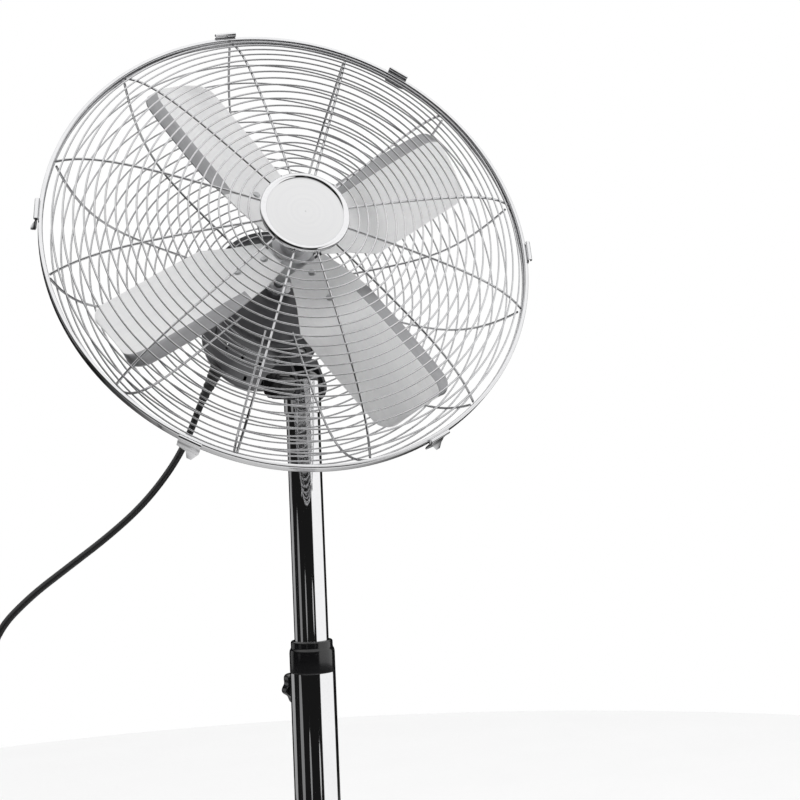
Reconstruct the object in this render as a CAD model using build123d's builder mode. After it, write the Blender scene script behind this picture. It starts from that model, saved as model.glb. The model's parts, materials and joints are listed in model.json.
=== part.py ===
from build123d import *
import os
from math import acos, cos, pi, radians, sin, sqrt, tan

os.makedirs("parts", exist_ok=True)

# Pedestal fan, in millimetres. +Z is up, the origin is on the floor on the
# pole's axis, and the head blows towards -Y.

# ---- Driving dimensions ----------------------------------------------------

BASE_R = 199.0              # round foot
LOWER_TUBE_R = 22.0
UPPER_TUBE_R = 16.6
TUBE_WALL = 1.2
COLLAR_Z = 646.0            # top end of the lower tube, under the collar
UPPER_TUBE_TOP = 905.0
LOCK_Z = 628.0              # height of the height-lock knob
LOCK_TURN = 101.0           # its direction round the pole, from +X
HINGE_Z = 922.0             # tilt bolt, above the floor
TILT_BEARING = 37.1         # the plane that the neck tilts in, from -Y
LEAN = 23.3                 # the neck leans back by this much at rest
SWIVEL_REST = -34.8         # the head is swung this far off centre at rest
NECK_RISE = 93.4            # fan axis above the tilt bolt, along the spindle
HEAD_REACH = 130.0          # rim plane in front of the spindle

GUARD_R = 225.0             # outside of the chrome rim band
WIRE_R = 0.9                # ring wires
RIB_R = 1.2                 # radial wires and the two hoops
HOOP_R = 222.2              # the outermost wire of each guard half
FRONT_DEPTH = 44.0          # the front guard's middle, ahead of the rim plane
REAR_DEPTH = 93.0           # the rear guard's plate, behind the rim plane
RIM_GAP = 2.6               # each hoop's distance from the rim plane
RIB_COUNT = 12
GUARD_TURN = -3.0           # the ribs sit this much round from upright
FRONT_RINGS = 20
REAR_RINGS = 19
BADGE_R = 38.0
LATCH_ANGLES = (-17.0, 43.0, 88.0, 161.0, 227.0, 284.0)

BLADE_COUNT = 4
BLADE_TURN = 14.2           # direction of the first blade, round from the head's x
BLADE_AT = -12.0            # blade plane, from the rim plane
BLADE_PITCH = 18.0
SHEET = 1.2                 # blade and spider sheet

MOTOR_R = 60.0              # casing
SHELL = 1.2                 # casing wall
SHAFT_R = 4.0
CASE_FRONT = -95.4
CASE_SPLIT = -165.0
CASE_REAR = -226.0

CORD_R = 3.5
GLAND_TURN = -155.8         # where the cord leaves the casing, round the axis
GLAND_AT = -200.0
GLAND_AIM = -132.4          # the gland points further down than it sits
GLAND_BACK = 19.7           # and a little backwards
GLAND_LENGTH = 24.0

SEAT = 0.05                 # seating gap between fixed pieces
CLEAR = 0.1                 # clearance of a screw or a nut

# ---- Frames and axes -------------------------------------------------------

bearing = radians(TILT_BEARING)
lean = radians(LEAN)
swing = radians(SWIVEL_REST)

hinge = Vector(0, 0, HINGE_Z)
bolt_dir = Vector(cos(bearing), sin(bearing), 0)
spindle_dir = Vector(-sin(bearing) * sin(lean), cos(bearing) * sin(lean), cos(lean))
neck = Plane(origin=hinge, x_dir=bolt_dir, z_dir=spindle_dir)

head_x = neck.x_dir * cos(swing) + neck.y_dir * sin(swing)
forward = spindle_dir.cross(head_x) * -1
rim_centre = hinge + spindle_dir * NECK_RISE + forward * HEAD_REACH
head = Plane(origin=rim_centre, x_dir=head_x, z_dir=forward)
fan_axis = Axis(rim_centre, forward)

upright = Plane.XZ          # the stand's section: local x outwards, y upwards


def out_dir(angle):
    """The direction square to the fan axis at this angle round it."""
    turn = radians(angle)
    return head.x_dir * cos(turn) + head.y_dir * sin(turn)


def section(angle=0):
    """A plane that holds the fan axis: local x runs outwards, y forwards."""
    out = out_dir(angle)
    return Plane(origin=rim_centre, x_dir=out, z_dir=out.cross(forward))


def facing_out(angle, along, radius):
    """A plane square to the radius there: local x runs round, y forwards."""
    out = out_dir(angle)
    origin = rim_centre + forward * along + out * radius
    return Plane(origin=origin, x_dir=forward.cross(out), z_dir=out)


def head_point(across, above, along):
    """A point given across, above and along the fan axis."""
    return rim_centre + head.x_dir * across + head.y_dir * above + forward * along


def save(piece, name):
    """Labels a finished piece and writes it to its own file."""
    piece.part.label = name
    export_step(piece.part, f"parts/{name}.step")


def turned(outline, plane, axis):
    """A closed outline of (radius, height) points spun about an axis."""
    with BuildPart() as piece:
        with BuildSketch(plane):
            with BuildLine():
                Polyline(*outline, close=True)
            make_face()
        revolve(axis=axis)
    return piece


def stand_ring(inner, outer, low, high):
    """A plain ring about the pole's axis."""
    outline = [(inner, low), (outer, low), (outer, high), (inner, high)]
    return turned(outline, upright, Axis.Z)


def head_ring(inner, outer, back, front):
    """A plain ring about the fan axis."""
    outline = [(inner, back), (outer, back), (outer, front), (inner, front)]
    return turned(outline, section(), fan_axis)


def wall_tube(radius, wall, low, high):
    """A straight tube standing on the pole's axis."""
    with BuildPart() as piece:
        with BuildSketch(Plane.XY.offset(low)):
            Circle(radius)
            Circle(radius - wall, mode=Mode.SUBTRACT)
        extrude(amount=high - low)
    return piece


# ---- Foot ------------------------------------------------------------------

RUBBER_H = 3.0
WEIGHT_H = 13.0
WEIGHT_R = 189.0
FLANGE_R = 45.0
FLANGE_H = 4.0
WEIGHT_TOP = RUBBER_H + WEIGHT_H
SCREW_R = 3.0
SCREW_CIRCLE = 36.0
SCREW_COUNT = 4
SCREW_HEAD_R = 5.2
SCREW_HEAD_H = 4.0
STUB_R = LOWER_TUBE_R - TUBE_WALL - SEAT
STUB_WALL = 3.0
STUB_H = 70.0
WEIGHT_BORE_R = 14.75
TUBE_FOOT = WEIGHT_TOP + FLANGE_H

with BuildPart() as foot_pad:
    with BuildSketch():
        Circle(BASE_R)
    extrude(amount=RUBBER_H)
save(foot_pad, "foot_pad")

with BuildPart() as foot_weight:
    with BuildSketch(Plane.XY.offset(RUBBER_H)):
        Circle(WEIGHT_R)
        Circle(WEIGHT_BORE_R, mode=Mode.SUBTRACT)
        with PolarLocations(SCREW_CIRCLE, SCREW_COUNT):
            Circle(SCREW_R + CLEAR, mode=Mode.SUBTRACT)
    extrude(amount=WEIGHT_H)
save(foot_weight, "foot_weight")

COVER_TOP = 36.0
COVER_R = BASE_R - 1
with BuildPart() as foot_cover:
    with BuildSketch(upright):
        with BuildLine():
            l1 = Line((COVER_R, RUBBER_H), (COVER_R, 15))
            l2 = ThreePointArc(l1 @ 1, (194, 20.5), (186, 23))
            l3 = Spline(l2 @ 1, (120, 28.5), (60, 33), (24, COVER_TOP))
            l4 = Line(l3 @ 1, (24, COVER_TOP - SHELL))
            l5 = Spline(l4 @ 1, (60, 33 - SHELL), (120, 28.5 - SHELL), (186, 23 - SHELL))
            l6 = ThreePointArc(l5 @ 1, (193.2, 19.6), (COVER_R - SHELL, 15))
            l7 = Line(l6 @ 1, (COVER_R - SHELL, RUBBER_H))
            Line(l7 @ 1, l1 @ 0)
        make_face()
    revolve(axis=Axis.Z)
save(foot_cover, "foot_cover")

with BuildPart() as pole_socket:
    with BuildSketch(Plane.XY.offset(WEIGHT_TOP)):
        Circle(FLANGE_R)
        with PolarLocations(SCREW_CIRCLE, SCREW_COUNT):
            Circle(SCREW_R + CLEAR, mode=Mode.SUBTRACT)
    extrude(amount=FLANGE_H)
    with BuildSketch(Plane.XY.offset(TUBE_FOOT)):
        Circle(STUB_R)
    extrude(amount=STUB_H)
    with BuildSketch(Plane.XY.offset(WEIGHT_TOP)):
        Circle(STUB_R - STUB_WALL)
    extrude(amount=FLANGE_H + STUB_H, mode=Mode.SUBTRACT)
save(pole_socket, "pole_socket")

with BuildPart() as socket_screws:
    with BuildSketch(Plane.XY.offset(RUBBER_H)):
        with PolarLocations(SCREW_CIRCLE, SCREW_COUNT):
            Circle(SCREW_R)
    extrude(amount=WEIGHT_H + FLANGE_H)
    with BuildSketch(Plane.XY.offset(TUBE_FOOT)):
        with PolarLocations(SCREW_CIRCLE, SCREW_COUNT):
            RegularPolygon(SCREW_HEAD_R, 6)
    extrude(amount=SCREW_HEAD_H)
save(socket_screws, "socket_screws")

TRIM_IN = LOWER_TUBE_R + 0.3
TRIM_OUT = 35.0
TRIM_H = 9.0
save(
    turned(
        [(TRIM_IN, COVER_TOP + 0.1), (TRIM_OUT, COVER_TOP - 0.4), (TRIM_OUT, COVER_TOP + 3),
         (TRIM_OUT - 6, COVER_TOP + 8), (TRIM_IN, COVER_TOP + TRIM_H)],
        upright, Axis.Z),
    "pole_trim")

# ---- Pole ------------------------------------------------------------------

out_lock = Vector(cos(radians(LOCK_TURN)), sin(radians(LOCK_TURN)), 0)
around_lock = Vector(-out_lock.Y, out_lock.X, 0)


def lock_plane(radius):
    """A plane square to the lock screw at this distance from the pole's axis."""
    origin = Vector(0, 0, LOCK_Z) + out_lock * radius
    return Plane(origin=origin, x_dir=around_lock, z_dir=out_lock)


LOCK_HOLE = 3.3
SLIDE = 0.06                # sliding gap of the upper tube
BUSH_LOW = 604.0
BUSH_HIGH = 668.0
BUSH_OUT = 18.5

BOSS_END = 26.0
BOSS_R = 8.5
BOSS_SINK = 2.0             # how far the boss starts inside the tube's face
BORE_FROM = 15.0            # the lock screw's bores start here
BORE_L = 15.0

# A saddle boss welded to the tube carries the lock screw's thread.
with BuildPart() as lower_tube:
    with BuildSketch(lock_plane(LOWER_TUBE_R - BOSS_SINK)):
        Circle(BOSS_R)
    extrude(amount=BOSS_END - LOWER_TUBE_R + BOSS_SINK)
    with BuildSketch(Plane.XY.offset(TUBE_FOOT)):
        Circle(LOWER_TUBE_R)
    extrude(amount=COLLAR_Z - TUBE_FOOT)
    with BuildSketch(Plane.XY.offset(TUBE_FOOT)):
        Circle(LOWER_TUBE_R - TUBE_WALL)
    extrude(amount=COLLAR_Z - TUBE_FOOT, mode=Mode.SUBTRACT)
    with BuildSketch(lock_plane(BORE_FROM)):
        Circle(SCREW_R + SEAT)
    extrude(amount=BORE_L, mode=Mode.SUBTRACT)
save(lower_tube, "lower_tube")

# The collar caps the tube, with a skirt inside it and a narrower lip on top.
SKIRT_R = LOWER_TUBE_R - TUBE_WALL - 0.15
LIP_R = 20.2
LIP_IN = UPPER_TUBE_R + 0.35
LIP_TOP = 676.0
collar_outline = [
    (BUSH_OUT + SEAT, BUSH_LOW), (SKIRT_R, BUSH_LOW), (SKIRT_R, COLLAR_Z + SEAT),
    (LOWER_TUBE_R, COLLAR_Z + SEAT), (LOWER_TUBE_R, 666), (21, 668.5), (LIP_R, 669.5),
    (LIP_R, LIP_TOP - 1), (LIP_R - 0.8, LIP_TOP), (LIP_IN, LIP_TOP),
    (LIP_IN, BUSH_HIGH), (BUSH_OUT + SEAT, BUSH_HIGH)]
with BuildPart() as tube_collar:
    with BuildSketch(upright):
        with BuildLine():
            Polyline(*collar_outline, close=True)
        make_face()
    revolve(axis=Axis.Z)
    with BuildSketch(lock_plane(BORE_FROM)):
        Circle(LOCK_HOLE)
    extrude(amount=BORE_L, mode=Mode.SUBTRACT)
save(tube_collar, "tube_collar")

with BuildPart() as collar_bush:
    with BuildSketch(Plane.XY.offset(BUSH_LOW)):
        Circle(BUSH_OUT)
        Circle(UPPER_TUBE_R + SLIDE, mode=Mode.SUBTRACT)
    extrude(amount=BUSH_HIGH - BUSH_LOW)
    with BuildSketch(lock_plane(BORE_FROM)):
        Circle(LOCK_HOLE)
    extrude(amount=BORE_L, mode=Mode.SUBTRACT)
save(collar_bush, "collar_bush")

# Lobed knob, with its screw moulded in.
KNOB_R = 15.5
KNOB_H = 13.0
KNOB_GAP = 0.4
LOBES = 7
LOBE_R = 3.0
SCALLOP_R = 3.6
with BuildPart() as height_knob:
    with BuildSketch(lock_plane(BOSS_END + KNOB_GAP)):
        Circle(KNOB_R)
        with PolarLocations(KNOB_R - 0.4, LOBES):
            Circle(LOBE_R)
        with PolarLocations(KNOB_R + 3.2, LOBES, start_angle=180 / LOBES):
            Circle(SCALLOP_R, mode=Mode.SUBTRACT)
    extrude(amount=KNOB_H)
    chamfer(height_knob.faces().sort_by(Axis((0, 0, 0), out_lock))[-1].edges(), 1.2)
    with BuildSketch(lock_plane(UPPER_TUBE_R + 0.15)):
        Circle(SCREW_R)
    extrude(amount=BOSS_END + KNOB_GAP - UPPER_TUBE_R)
save(height_knob, "height_knob")

# ---- Mast ------------------------------------------------------------------

MAST_FOOT = 340.0
MAST_FOOT_R = LOWER_TUBE_R - TUBE_WALL - SLIDE
MAST_FOOT_H = 26.0
MAST_LEDGE = 4.0
PRESS = 0.02                # fixed fit of the mast's ends
save(wall_tube(UPPER_TUBE_R, TUBE_WALL, MAST_FOOT, UPPER_TUBE_TOP), "upper_tube")

save(
    turned(
        [(UPPER_TUBE_R - STUB_WALL, MAST_FOOT - MAST_LEDGE), (MAST_FOOT_R, MAST_FOOT - MAST_LEDGE),
         (MAST_FOOT_R, MAST_FOOT + MAST_FOOT_H), (UPPER_TUBE_R + PRESS, MAST_FOOT + MAST_FOOT_H),
         (UPPER_TUBE_R + PRESS, MAST_FOOT - PRESS), (UPPER_TUBE_R - STUB_WALL, MAST_FOOT - PRESS)],
        upright, Axis.Z),
    "mast_foot")

CAP_R = 18.4
CAP_LOW = 896.0
CAP_ROUND = 18.0
CAP_REACH = 25.0            # half of what is cut through the cap
BOLT_R = 4.0


def bolt_plane(along):
    """A plane square to the tilt bolt at this distance from the pole's axis."""
    return Plane(origin=hinge + bolt_dir * along, x_dir=neck.y_dir, z_dir=bolt_dir)


mast_side = Plane(origin=hinge, x_dir=Vector(0, 0, 1).cross(bolt_dir), z_dir=bolt_dir)
with BuildPart() as mast_cap:
    with BuildSketch(Plane.XY.offset(CAP_LOW)):
        Circle(CAP_R)
    extrude(amount=HINGE_Z + CAP_ROUND - CAP_LOW)
    with BuildSketch(mast_side):
        Circle(CAP_ROUND)
        with Locations((0, -CAP_REACH)):
            Rectangle(2 * CAP_REACH, 2 * CAP_REACH)
    extrude(amount=CAP_REACH, both=True, mode=Mode.INTERSECT)
    with BuildSketch(Plane.XY.offset(CAP_LOW)):
        Circle(UPPER_TUBE_R + PRESS)
        Circle(UPPER_TUBE_R - TUBE_WALL - SEAT, mode=Mode.SUBTRACT)
    extrude(amount=UPPER_TUBE_TOP + SEAT - CAP_LOW, mode=Mode.SUBTRACT)
    with BuildSketch(bolt_plane(-CAP_REACH)):
        Circle(BOLT_R + SEAT)
    extrude(amount=2 * CAP_REACH, mode=Mode.SUBTRACT)
save(mast_cap, "mast_cap")

# ---- Neck yoke, tilt bolt and lock -----------------------------------------

EAR_IN = 18.8
EAR_OUT = 22.8
EAR_R = 13.0
WEB_LOW = 19.0
WEB_HIGH = 25.0
LINK_PIN_AT = 18.0          # fixed link pin, from the spindle
LINK_LOW = 25.9
LINK_HIGH = 27.9
PIN_R = 2.5
BOSS_RISE = 5.6
YOKE_BOSS_R = 7.6
PIN_HEAD = 1.3              # the link pin's head stands out by this much
PIN_HEAD_H = 1.2
YOKE_CORNER = 3.0

with BuildPart() as neck_yoke:
    for side in (-1, 1):
        start = EAR_IN if side > 0 else -EAR_OUT
        with BuildSketch(bolt_plane(start)):
            Circle(EAR_R)
            with Locations((0, WEB_HIGH / 2)):
                Rectangle(2 * EAR_R, WEB_HIGH)
            Circle(BOLT_R + SEAT, mode=Mode.SUBTRACT)
        extrude(amount=EAR_OUT - EAR_IN)
    with BuildSketch(neck.offset(WEB_LOW)):
        RectangleRounded(2 * EAR_OUT, 2 * EAR_R + 2, YOKE_CORNER)
    extrude(amount=WEB_HIGH - WEB_LOW)
    with BuildSketch(neck.offset(WEB_HIGH)):
        Circle(YOKE_BOSS_R)
        with Locations((LINK_PIN_AT, 0)):
            Circle(PIN_R)
    extrude(amount=BOSS_RISE)
    with BuildSketch(neck.offset(LINK_HIGH + KNOB_GAP)):
        with Locations((LINK_PIN_AT, 0)):
            Circle(PIN_R + PIN_HEAD)
    extrude(amount=PIN_HEAD_H)
save(neck_yoke, "neck_yoke")

SPINDLE_R = 6.0
SPINDLE_FOOT = WEB_HIGH + BOSS_RISE
SPINDLE_TOP = 46.8
with BuildPart() as spindle:
    with BuildSketch(neck.offset(SPINDLE_FOOT)):
        Circle(SPINDLE_R)
    extrude(amount=SPINDLE_TOP - SPINDLE_FOOT)
save(spindle, "spindle")

TILT_KNOB_IN = EAR_OUT + KNOB_GAP
TILT_KNOB_R = 12.8
TILT_BORE = 10.5            # how far the bolt goes into the knob
TILT_END = 12.0             # solid end of the knob
FLUTE_R = 1.5
FLUTES = 12
NUT_R = 7.5
NUT_H = 5.0
BOLT_SPARE = 8.0            # thread past the nut's side of the yoke
with BuildPart() as tilt_bolt:
    with BuildSketch(bolt_plane(-(TILT_KNOB_IN + TILT_BORE - 0.5))):
        Circle(BOLT_R)
    extrude(amount=TILT_KNOB_IN + TILT_BORE - 0.5 + EAR_OUT + BOLT_SPARE)
    with BuildSketch(bolt_plane(EAR_OUT + CLEAR)):
        RegularPolygon(NUT_R, 6)
        Circle(BOLT_R, mode=Mode.SUBTRACT)
    extrude(amount=NUT_H)
save(tilt_bolt, "tilt_bolt")

with BuildPart() as tilt_knob:
    with BuildSketch(bolt_plane(-TILT_KNOB_IN)):
        Circle(TILT_KNOB_R)
        with PolarLocations(TILT_KNOB_R + KNOB_GAP, FLUTES):
            Circle(FLUTE_R, mode=Mode.SUBTRACT)
        Circle(BOLT_R + SEAT, mode=Mode.SUBTRACT)
    extrude(amount=-TILT_BORE)
    with BuildSketch(bolt_plane(-(TILT_KNOB_IN + TILT_BORE))):
        Circle(TILT_KNOB_R)
        with PolarLocations(TILT_KNOB_R + KNOB_GAP, FLUTES):
            Circle(FLUTE_R, mode=Mode.SUBTRACT)
    extrude(amount=-TILT_END)
    outer = tilt_knob.faces().sort_by(Axis((0, 0, 0), bolt_dir))[0]
    chamfer(outer.edges(), 1.0)
save(tilt_knob, "tilt_knob")

# ---- Motor -----------------------------------------------------------------

CASE_IN = MOTOR_R - SHELL
STATOR_BACK = -158.0
STATOR_FRONT = -128.0
STATOR_OUT = 46.0
STATOR_IN = 27.0
ROTOR_R = 26.6
VENT_COUNT = 20
VENT_W = 3.0
VENT_LONG = 14.0
VENT_DEEP = 8.0             # depth of each cut, half of it inside the wall
FRONT_VENTS_AT = -142.0
REAR_VENTS_AT = -188.0


def spindle_plane(above_bolt):
    """A plane square to the spindle, turned with the head."""
    return Plane(origin=hinge + spindle_dir * above_bolt, x_dir=head.x_dir, z_dir=spindle_dir)


# The front shell is a dish with a flat nose that the rear guard bolts to.
NOSE_R = 10.4
NOSE_FLAT = 30.0
FRONT_EDGE = -122.0
NECK_HOLE_R = 17.0
with BuildPart() as front_shell:
    with BuildSketch(section()):
        with BuildLine():
            a1 = Line((NOSE_R + CLEAR, CASE_FRONT), (NOSE_FLAT, CASE_FRONT))
            a2 = ThreePointArc(a1 @ 1, (52.5, -103.5), (MOTOR_R, FRONT_EDGE))
            a3 = Line(a2 @ 1, (MOTOR_R, CASE_SPLIT + SEAT))
            a4 = Line(a3 @ 1, (CASE_IN, CASE_SPLIT + SEAT))
            a5 = Line(a4 @ 1, (CASE_IN, FRONT_EDGE))
            a6 = ThreePointArc(a5 @ 1, (51.6, -104.5), (NOSE_FLAT, CASE_FRONT - SHELL))
            a7 = Line(a6 @ 1, (NOSE_R + CLEAR, CASE_FRONT - SHELL))
            Line(a7 @ 1, a1 @ 0)
        make_face()
    revolve(axis=fan_axis)
    for k in range(VENT_COUNT):
        angle = (k + 0.5) * 360 / VENT_COUNT
        with BuildSketch(facing_out(angle, FRONT_VENTS_AT, MOTOR_R - VENT_DEEP / 2)):
            SlotOverall(VENT_LONG, VENT_W, rotation=90)
        extrude(amount=VENT_DEEP, mode=Mode.SUBTRACT)
    with BuildSketch(spindle_plane(WEB_HIGH - 1)):
        Circle(NECK_HOLE_R)
    extrude(amount=22, mode=Mode.SUBTRACT)
save(front_shell, "front_shell")

CRANK_ACROSS = 14.0
CRANK_BACK = 65.0           # crank's axis, behind the spindle
OSC_AT = -186.0
KNOB_HOLE = 3.2
REAR_EDGE = -205.0
REAR_FLAT = 38.0
SWITCH_HOLE = 5.0
STEM_HOLE = 6.5             # where the crank's stem goes through the wall
HOLE_CIRCLE = 31.0          # round vents in the rear face
HOLE_COUNT = 16
HOLE_R = 2.0
GLAND_NECK = 5.95


def gear_plane(above):
    """A plane square to the crank's axis, this far above the fan axis."""
    origin = head_point(CRANK_ACROSS, above, -HEAD_REACH - CRANK_BACK)
    return Plane(origin=origin, x_dir=head.x_dir, z_dir=head.y_dir)


def shift_plane(above):
    """A plane square to the swing knob's stem, this far above the fan axis."""
    return Plane(origin=head_point(0, above, OSC_AT), x_dir=head.x_dir, z_dir=head.y_dir)


with BuildPart() as rear_shell:
    with BuildSketch(section()):
        with BuildLine():
            b1 = Line((CASE_IN, CASE_SPLIT - SEAT), (MOTOR_R, CASE_SPLIT - SEAT))
            b2 = Line(b1 @ 1, (MOTOR_R, REAR_EDGE))
            b3 = ThreePointArc(b2 @ 1, (54.5, -218.5), (REAR_FLAT, CASE_REAR))
            b4 = Line(b3 @ 1, (SWITCH_HOLE, CASE_REAR))
            b5 = Line(b4 @ 1, (SWITCH_HOLE, CASE_REAR + SHELL))
            b6 = Line(b5 @ 1, (REAR_FLAT, CASE_REAR + SHELL))
            b7 = ThreePointArc(b6 @ 1, (53.7, -217.6), (CASE_IN, REAR_EDGE))
            Line(b7 @ 1, b1 @ 0)
        make_face()
    revolve(axis=fan_axis)
    # The vents leave room for the swing knob, the cord and the crank's stem.
    for k in range(VENT_COUNT):
        angle = k * 360 / VENT_COUNT
        if abs(angle - 90) > 5 and abs(angle - 360 - GLAND_TURN) > 12 and abs(angle - 283) > 14:
            with BuildSketch(facing_out(angle, REAR_VENTS_AT, MOTOR_R - VENT_DEEP / 2)):
                SlotOverall(VENT_LONG + 4, VENT_W, rotation=90)
            extrude(amount=VENT_DEEP, mode=Mode.SUBTRACT)
    with BuildSketch(head.offset(CASE_REAR - VENT_DEEP / 2)):
        with PolarLocations(HOLE_CIRCLE, HOLE_COUNT):
            Circle(HOLE_R)
    extrude(amount=VENT_DEEP, mode=Mode.SUBTRACT)
    with BuildSketch(gear_plane(-MOTOR_R - 4)):
        Circle(STEM_HOLE)
    extrude(amount=20, mode=Mode.SUBTRACT)
    with BuildSketch(shift_plane(MOTOR_R - 10)):
        Circle(KNOB_HOLE)
    extrude(amount=20, mode=Mode.SUBTRACT)
    with BuildSketch(facing_out(GLAND_TURN, GLAND_AT, MOTOR_R - VENT_DEEP)):
        Circle(GLAND_NECK + CLEAR)
    extrude(amount=2 * VENT_DEEP, mode=Mode.SUBTRACT)
save(rear_shell, "rear_shell")

FRONT_BRIDGE = -107.4
REAR_BRIDGE = -176.4
BRIDGE_H = 4.8
BRIDGE_W = 15.0
BRIDGE_L = 80.0
BEARING_R = 9.6
BEARING_RIM = 3.0
BEARING_DEPTH = 9.0
CARRIER_R = 15.5
THREAD_R = 8.6
THREAD_L = 11.0
SHAFT_HOLE = 5.0
FOOT_STEP = 11.6            # how far the leg's foot reaches back
BORE = SHAFT_R + 0.03
NOSE_FOOT = CASE_FRONT + 0.15
CARRIER_LOW = WEB_HIGH + BOSS_RISE + 0.6
LEG_W = 24.0
FOOT_TOP = -47.5            # the leg's foot, under the stator

# One casting holds the front bearing, the threaded nose for the guard nut,
# and a leg down to the foot that turns on the spindle. The rear bridge is a
# solid of its own.
with BuildPart() as motor_frame:
    with BuildSketch(head.offset(FRONT_BRIDGE)):
        Rectangle(BRIDGE_L, BRIDGE_W)
        Circle(BEARING_R + BEARING_RIM)
        with Locations((0, -22.5)):
            Rectangle(LEG_W, 45)
    extrude(amount=BRIDGE_H)
    with BuildSketch(head.offset(FRONT_BRIDGE + 1)):
        with Locations((0, -46.25)):
            Rectangle(LEG_W, 8.5)
    extrude(amount=-FOOT_STEP)
    with BuildSketch(spindle_plane(CARRIER_LOW)):
        Circle(CARRIER_R)
    extrude(amount=NECK_RISE + FOOT_TOP - CARRIER_LOW)
    with BuildSketch(spindle_plane(CARRIER_LOW)):
        Circle(SPINDLE_R + SEAT)
    extrude(amount=20, mode=Mode.SUBTRACT)
    with BuildSketch(head.offset(FRONT_BRIDGE + BRIDGE_H)):
        Circle(NOSE_R)
    extrude(amount=NOSE_FOOT - FRONT_BRIDGE - BRIDGE_H)
    with BuildSketch(head.offset(NOSE_FOOT)):
        Circle(THREAD_R)
    extrude(amount=THREAD_L)
    with BuildSketch(head.offset(FRONT_BRIDGE)):
        Circle(BEARING_R + SEAT)
    extrude(amount=BEARING_DEPTH, mode=Mode.SUBTRACT)
    with BuildSketch(head.offset(FRONT_BRIDGE)):
        Circle(SHAFT_HOLE)
    extrude(amount=30, mode=Mode.SUBTRACT)
    with BuildSketch(head.offset(REAR_BRIDGE)):
        Rectangle(BRIDGE_L, BRIDGE_W)
        Circle(BEARING_R + BEARING_RIM)
        Circle(BEARING_R + SEAT, mode=Mode.SUBTRACT)
    extrude(amount=BRIDGE_H)
save(motor_frame, "motor_frame")

with BuildPart() as shaft_bearings:
    for at in (FRONT_BRIDGE + CLEAR, REAR_BRIDGE + CLEAR):
        with BuildSketch(head.offset(at)):
            Circle(BEARING_R)
            Circle(BORE, mode=Mode.SUBTRACT)
        extrude(amount=BRIDGE_H - 2 * CLEAR)
save(shaft_bearings, "shaft_bearings")

CORE_SLOTS = 16
SLOT_CIRCLE = 33.0
SLOT_R = 2.6
with BuildPart() as stator_core:
    with BuildSketch(head.offset(STATOR_BACK)):
        Circle(STATOR_OUT)
        Circle(STATOR_IN, mode=Mode.SUBTRACT)
        with PolarLocations(SLOT_CIRCLE, CORE_SLOTS):
            Circle(SLOT_R, mode=Mode.SUBTRACT)
    extrude(amount=STATOR_FRONT - STATOR_BACK)
save(stator_core, "stator_core")

WINDING_L = 12.8
WINDING_W = 13.0
WINDING_R = 34.5
WINDING_GAP = 0.2
with BuildPart() as stator_windings:
    with BuildSketch(section()):
        half = WINDING_L / 2 + WINDING_GAP
        for at in (STATOR_FRONT + half, STATOR_BACK - half):
            with Locations((WINDING_R, at)):
                RectangleRounded(WINDING_W, WINDING_L, 4)
    revolve(axis=fan_axis)
save(stator_windings, "stator_windings")

# ---- Oscillation gears -----------------------------------------------------

# Worm on the shaft, worm wheel and pinion on one spindle, then the crank gear.
IDLER_ACROSS = 12.7
IDLER_AT = -184.0
WHEEL_R = 7.3
PINION_R = 2.5
CRANK_GEAR_R = 8.2
CRANK_TEETH = 30
WHEEL_TEETH = 22
PINION_TEETH = 9
STEM_R = 4.5
CASE_LOW = -51.0            # the open gearbox's floor
CASE_H = 33.0
CASE_FLOOR = 2.0
GEAR_LOW = -48.0
GEAR_H = 6.0
idler_axis = Plane(origin=head_point(IDLER_ACROSS, 0, IDLER_AT), x_dir=head.x_dir,
                   z_dir=head.y_dir)


def toothed(radius, teeth, tip):
    """A gear's outline in the sketch being built, with rounded teeth."""
    Circle(radius)
    with PolarLocations(radius, teeth):
        Circle(tip)


with BuildPart() as gearbox_case:
    with BuildSketch(gear_plane(CASE_LOW)):
        with Locations((0, -4)):
            RectangleRounded(29, 34, 6)
    extrude(amount=CASE_H)
    with BuildSketch(gear_plane(CASE_LOW + CASE_FLOOR)):
        with Locations((0, -4)):
            RectangleRounded(25, 30, 4)
    extrude(amount=CASE_H, mode=Mode.SUBTRACT)
    with BuildSketch(gear_plane(CASE_LOW)):
        Circle(STEM_R + SEAT)
    extrude(amount=CASE_FLOOR, mode=Mode.SUBTRACT)
save(gearbox_case, "gearbox_case")

with BuildPart() as drive_gear:
    with BuildSketch(idler_axis.offset(-WHEEL_R / 2)):
        toothed(WHEEL_R - 0.5, WHEEL_TEETH, 0.5)
    extrude(amount=WHEEL_R)
    with BuildSketch(idler_axis.offset(GEAR_LOW)):
        Circle(PINION_R - 0.4)
    extrude(amount=-GEAR_LOW + 6)
    with BuildSketch(idler_axis.offset(GEAR_LOW)):
        toothed(PINION_R - 0.4, PINION_TEETH, 0.35)
    extrude(amount=GEAR_H)
save(drive_gear, "drive_gear")

# The crank pin stands one link's length from the pin on the yoke.
CRANK_THROW = 11.0
DISC_LOW = -64.0
DISC_H = 2.8
DISC_R = 15.0
PIN_END = -65.1
pin_across = LINK_PIN_AT * cos(swing)
pin_back = -LINK_PIN_AT * sin(swing)
crank_turn = acos(pin_back / CRANK_THROW)
eye_across = CRANK_ACROSS + CRANK_THROW * sin(crank_turn)
eye_back = CRANK_BACK + pin_back

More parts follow.
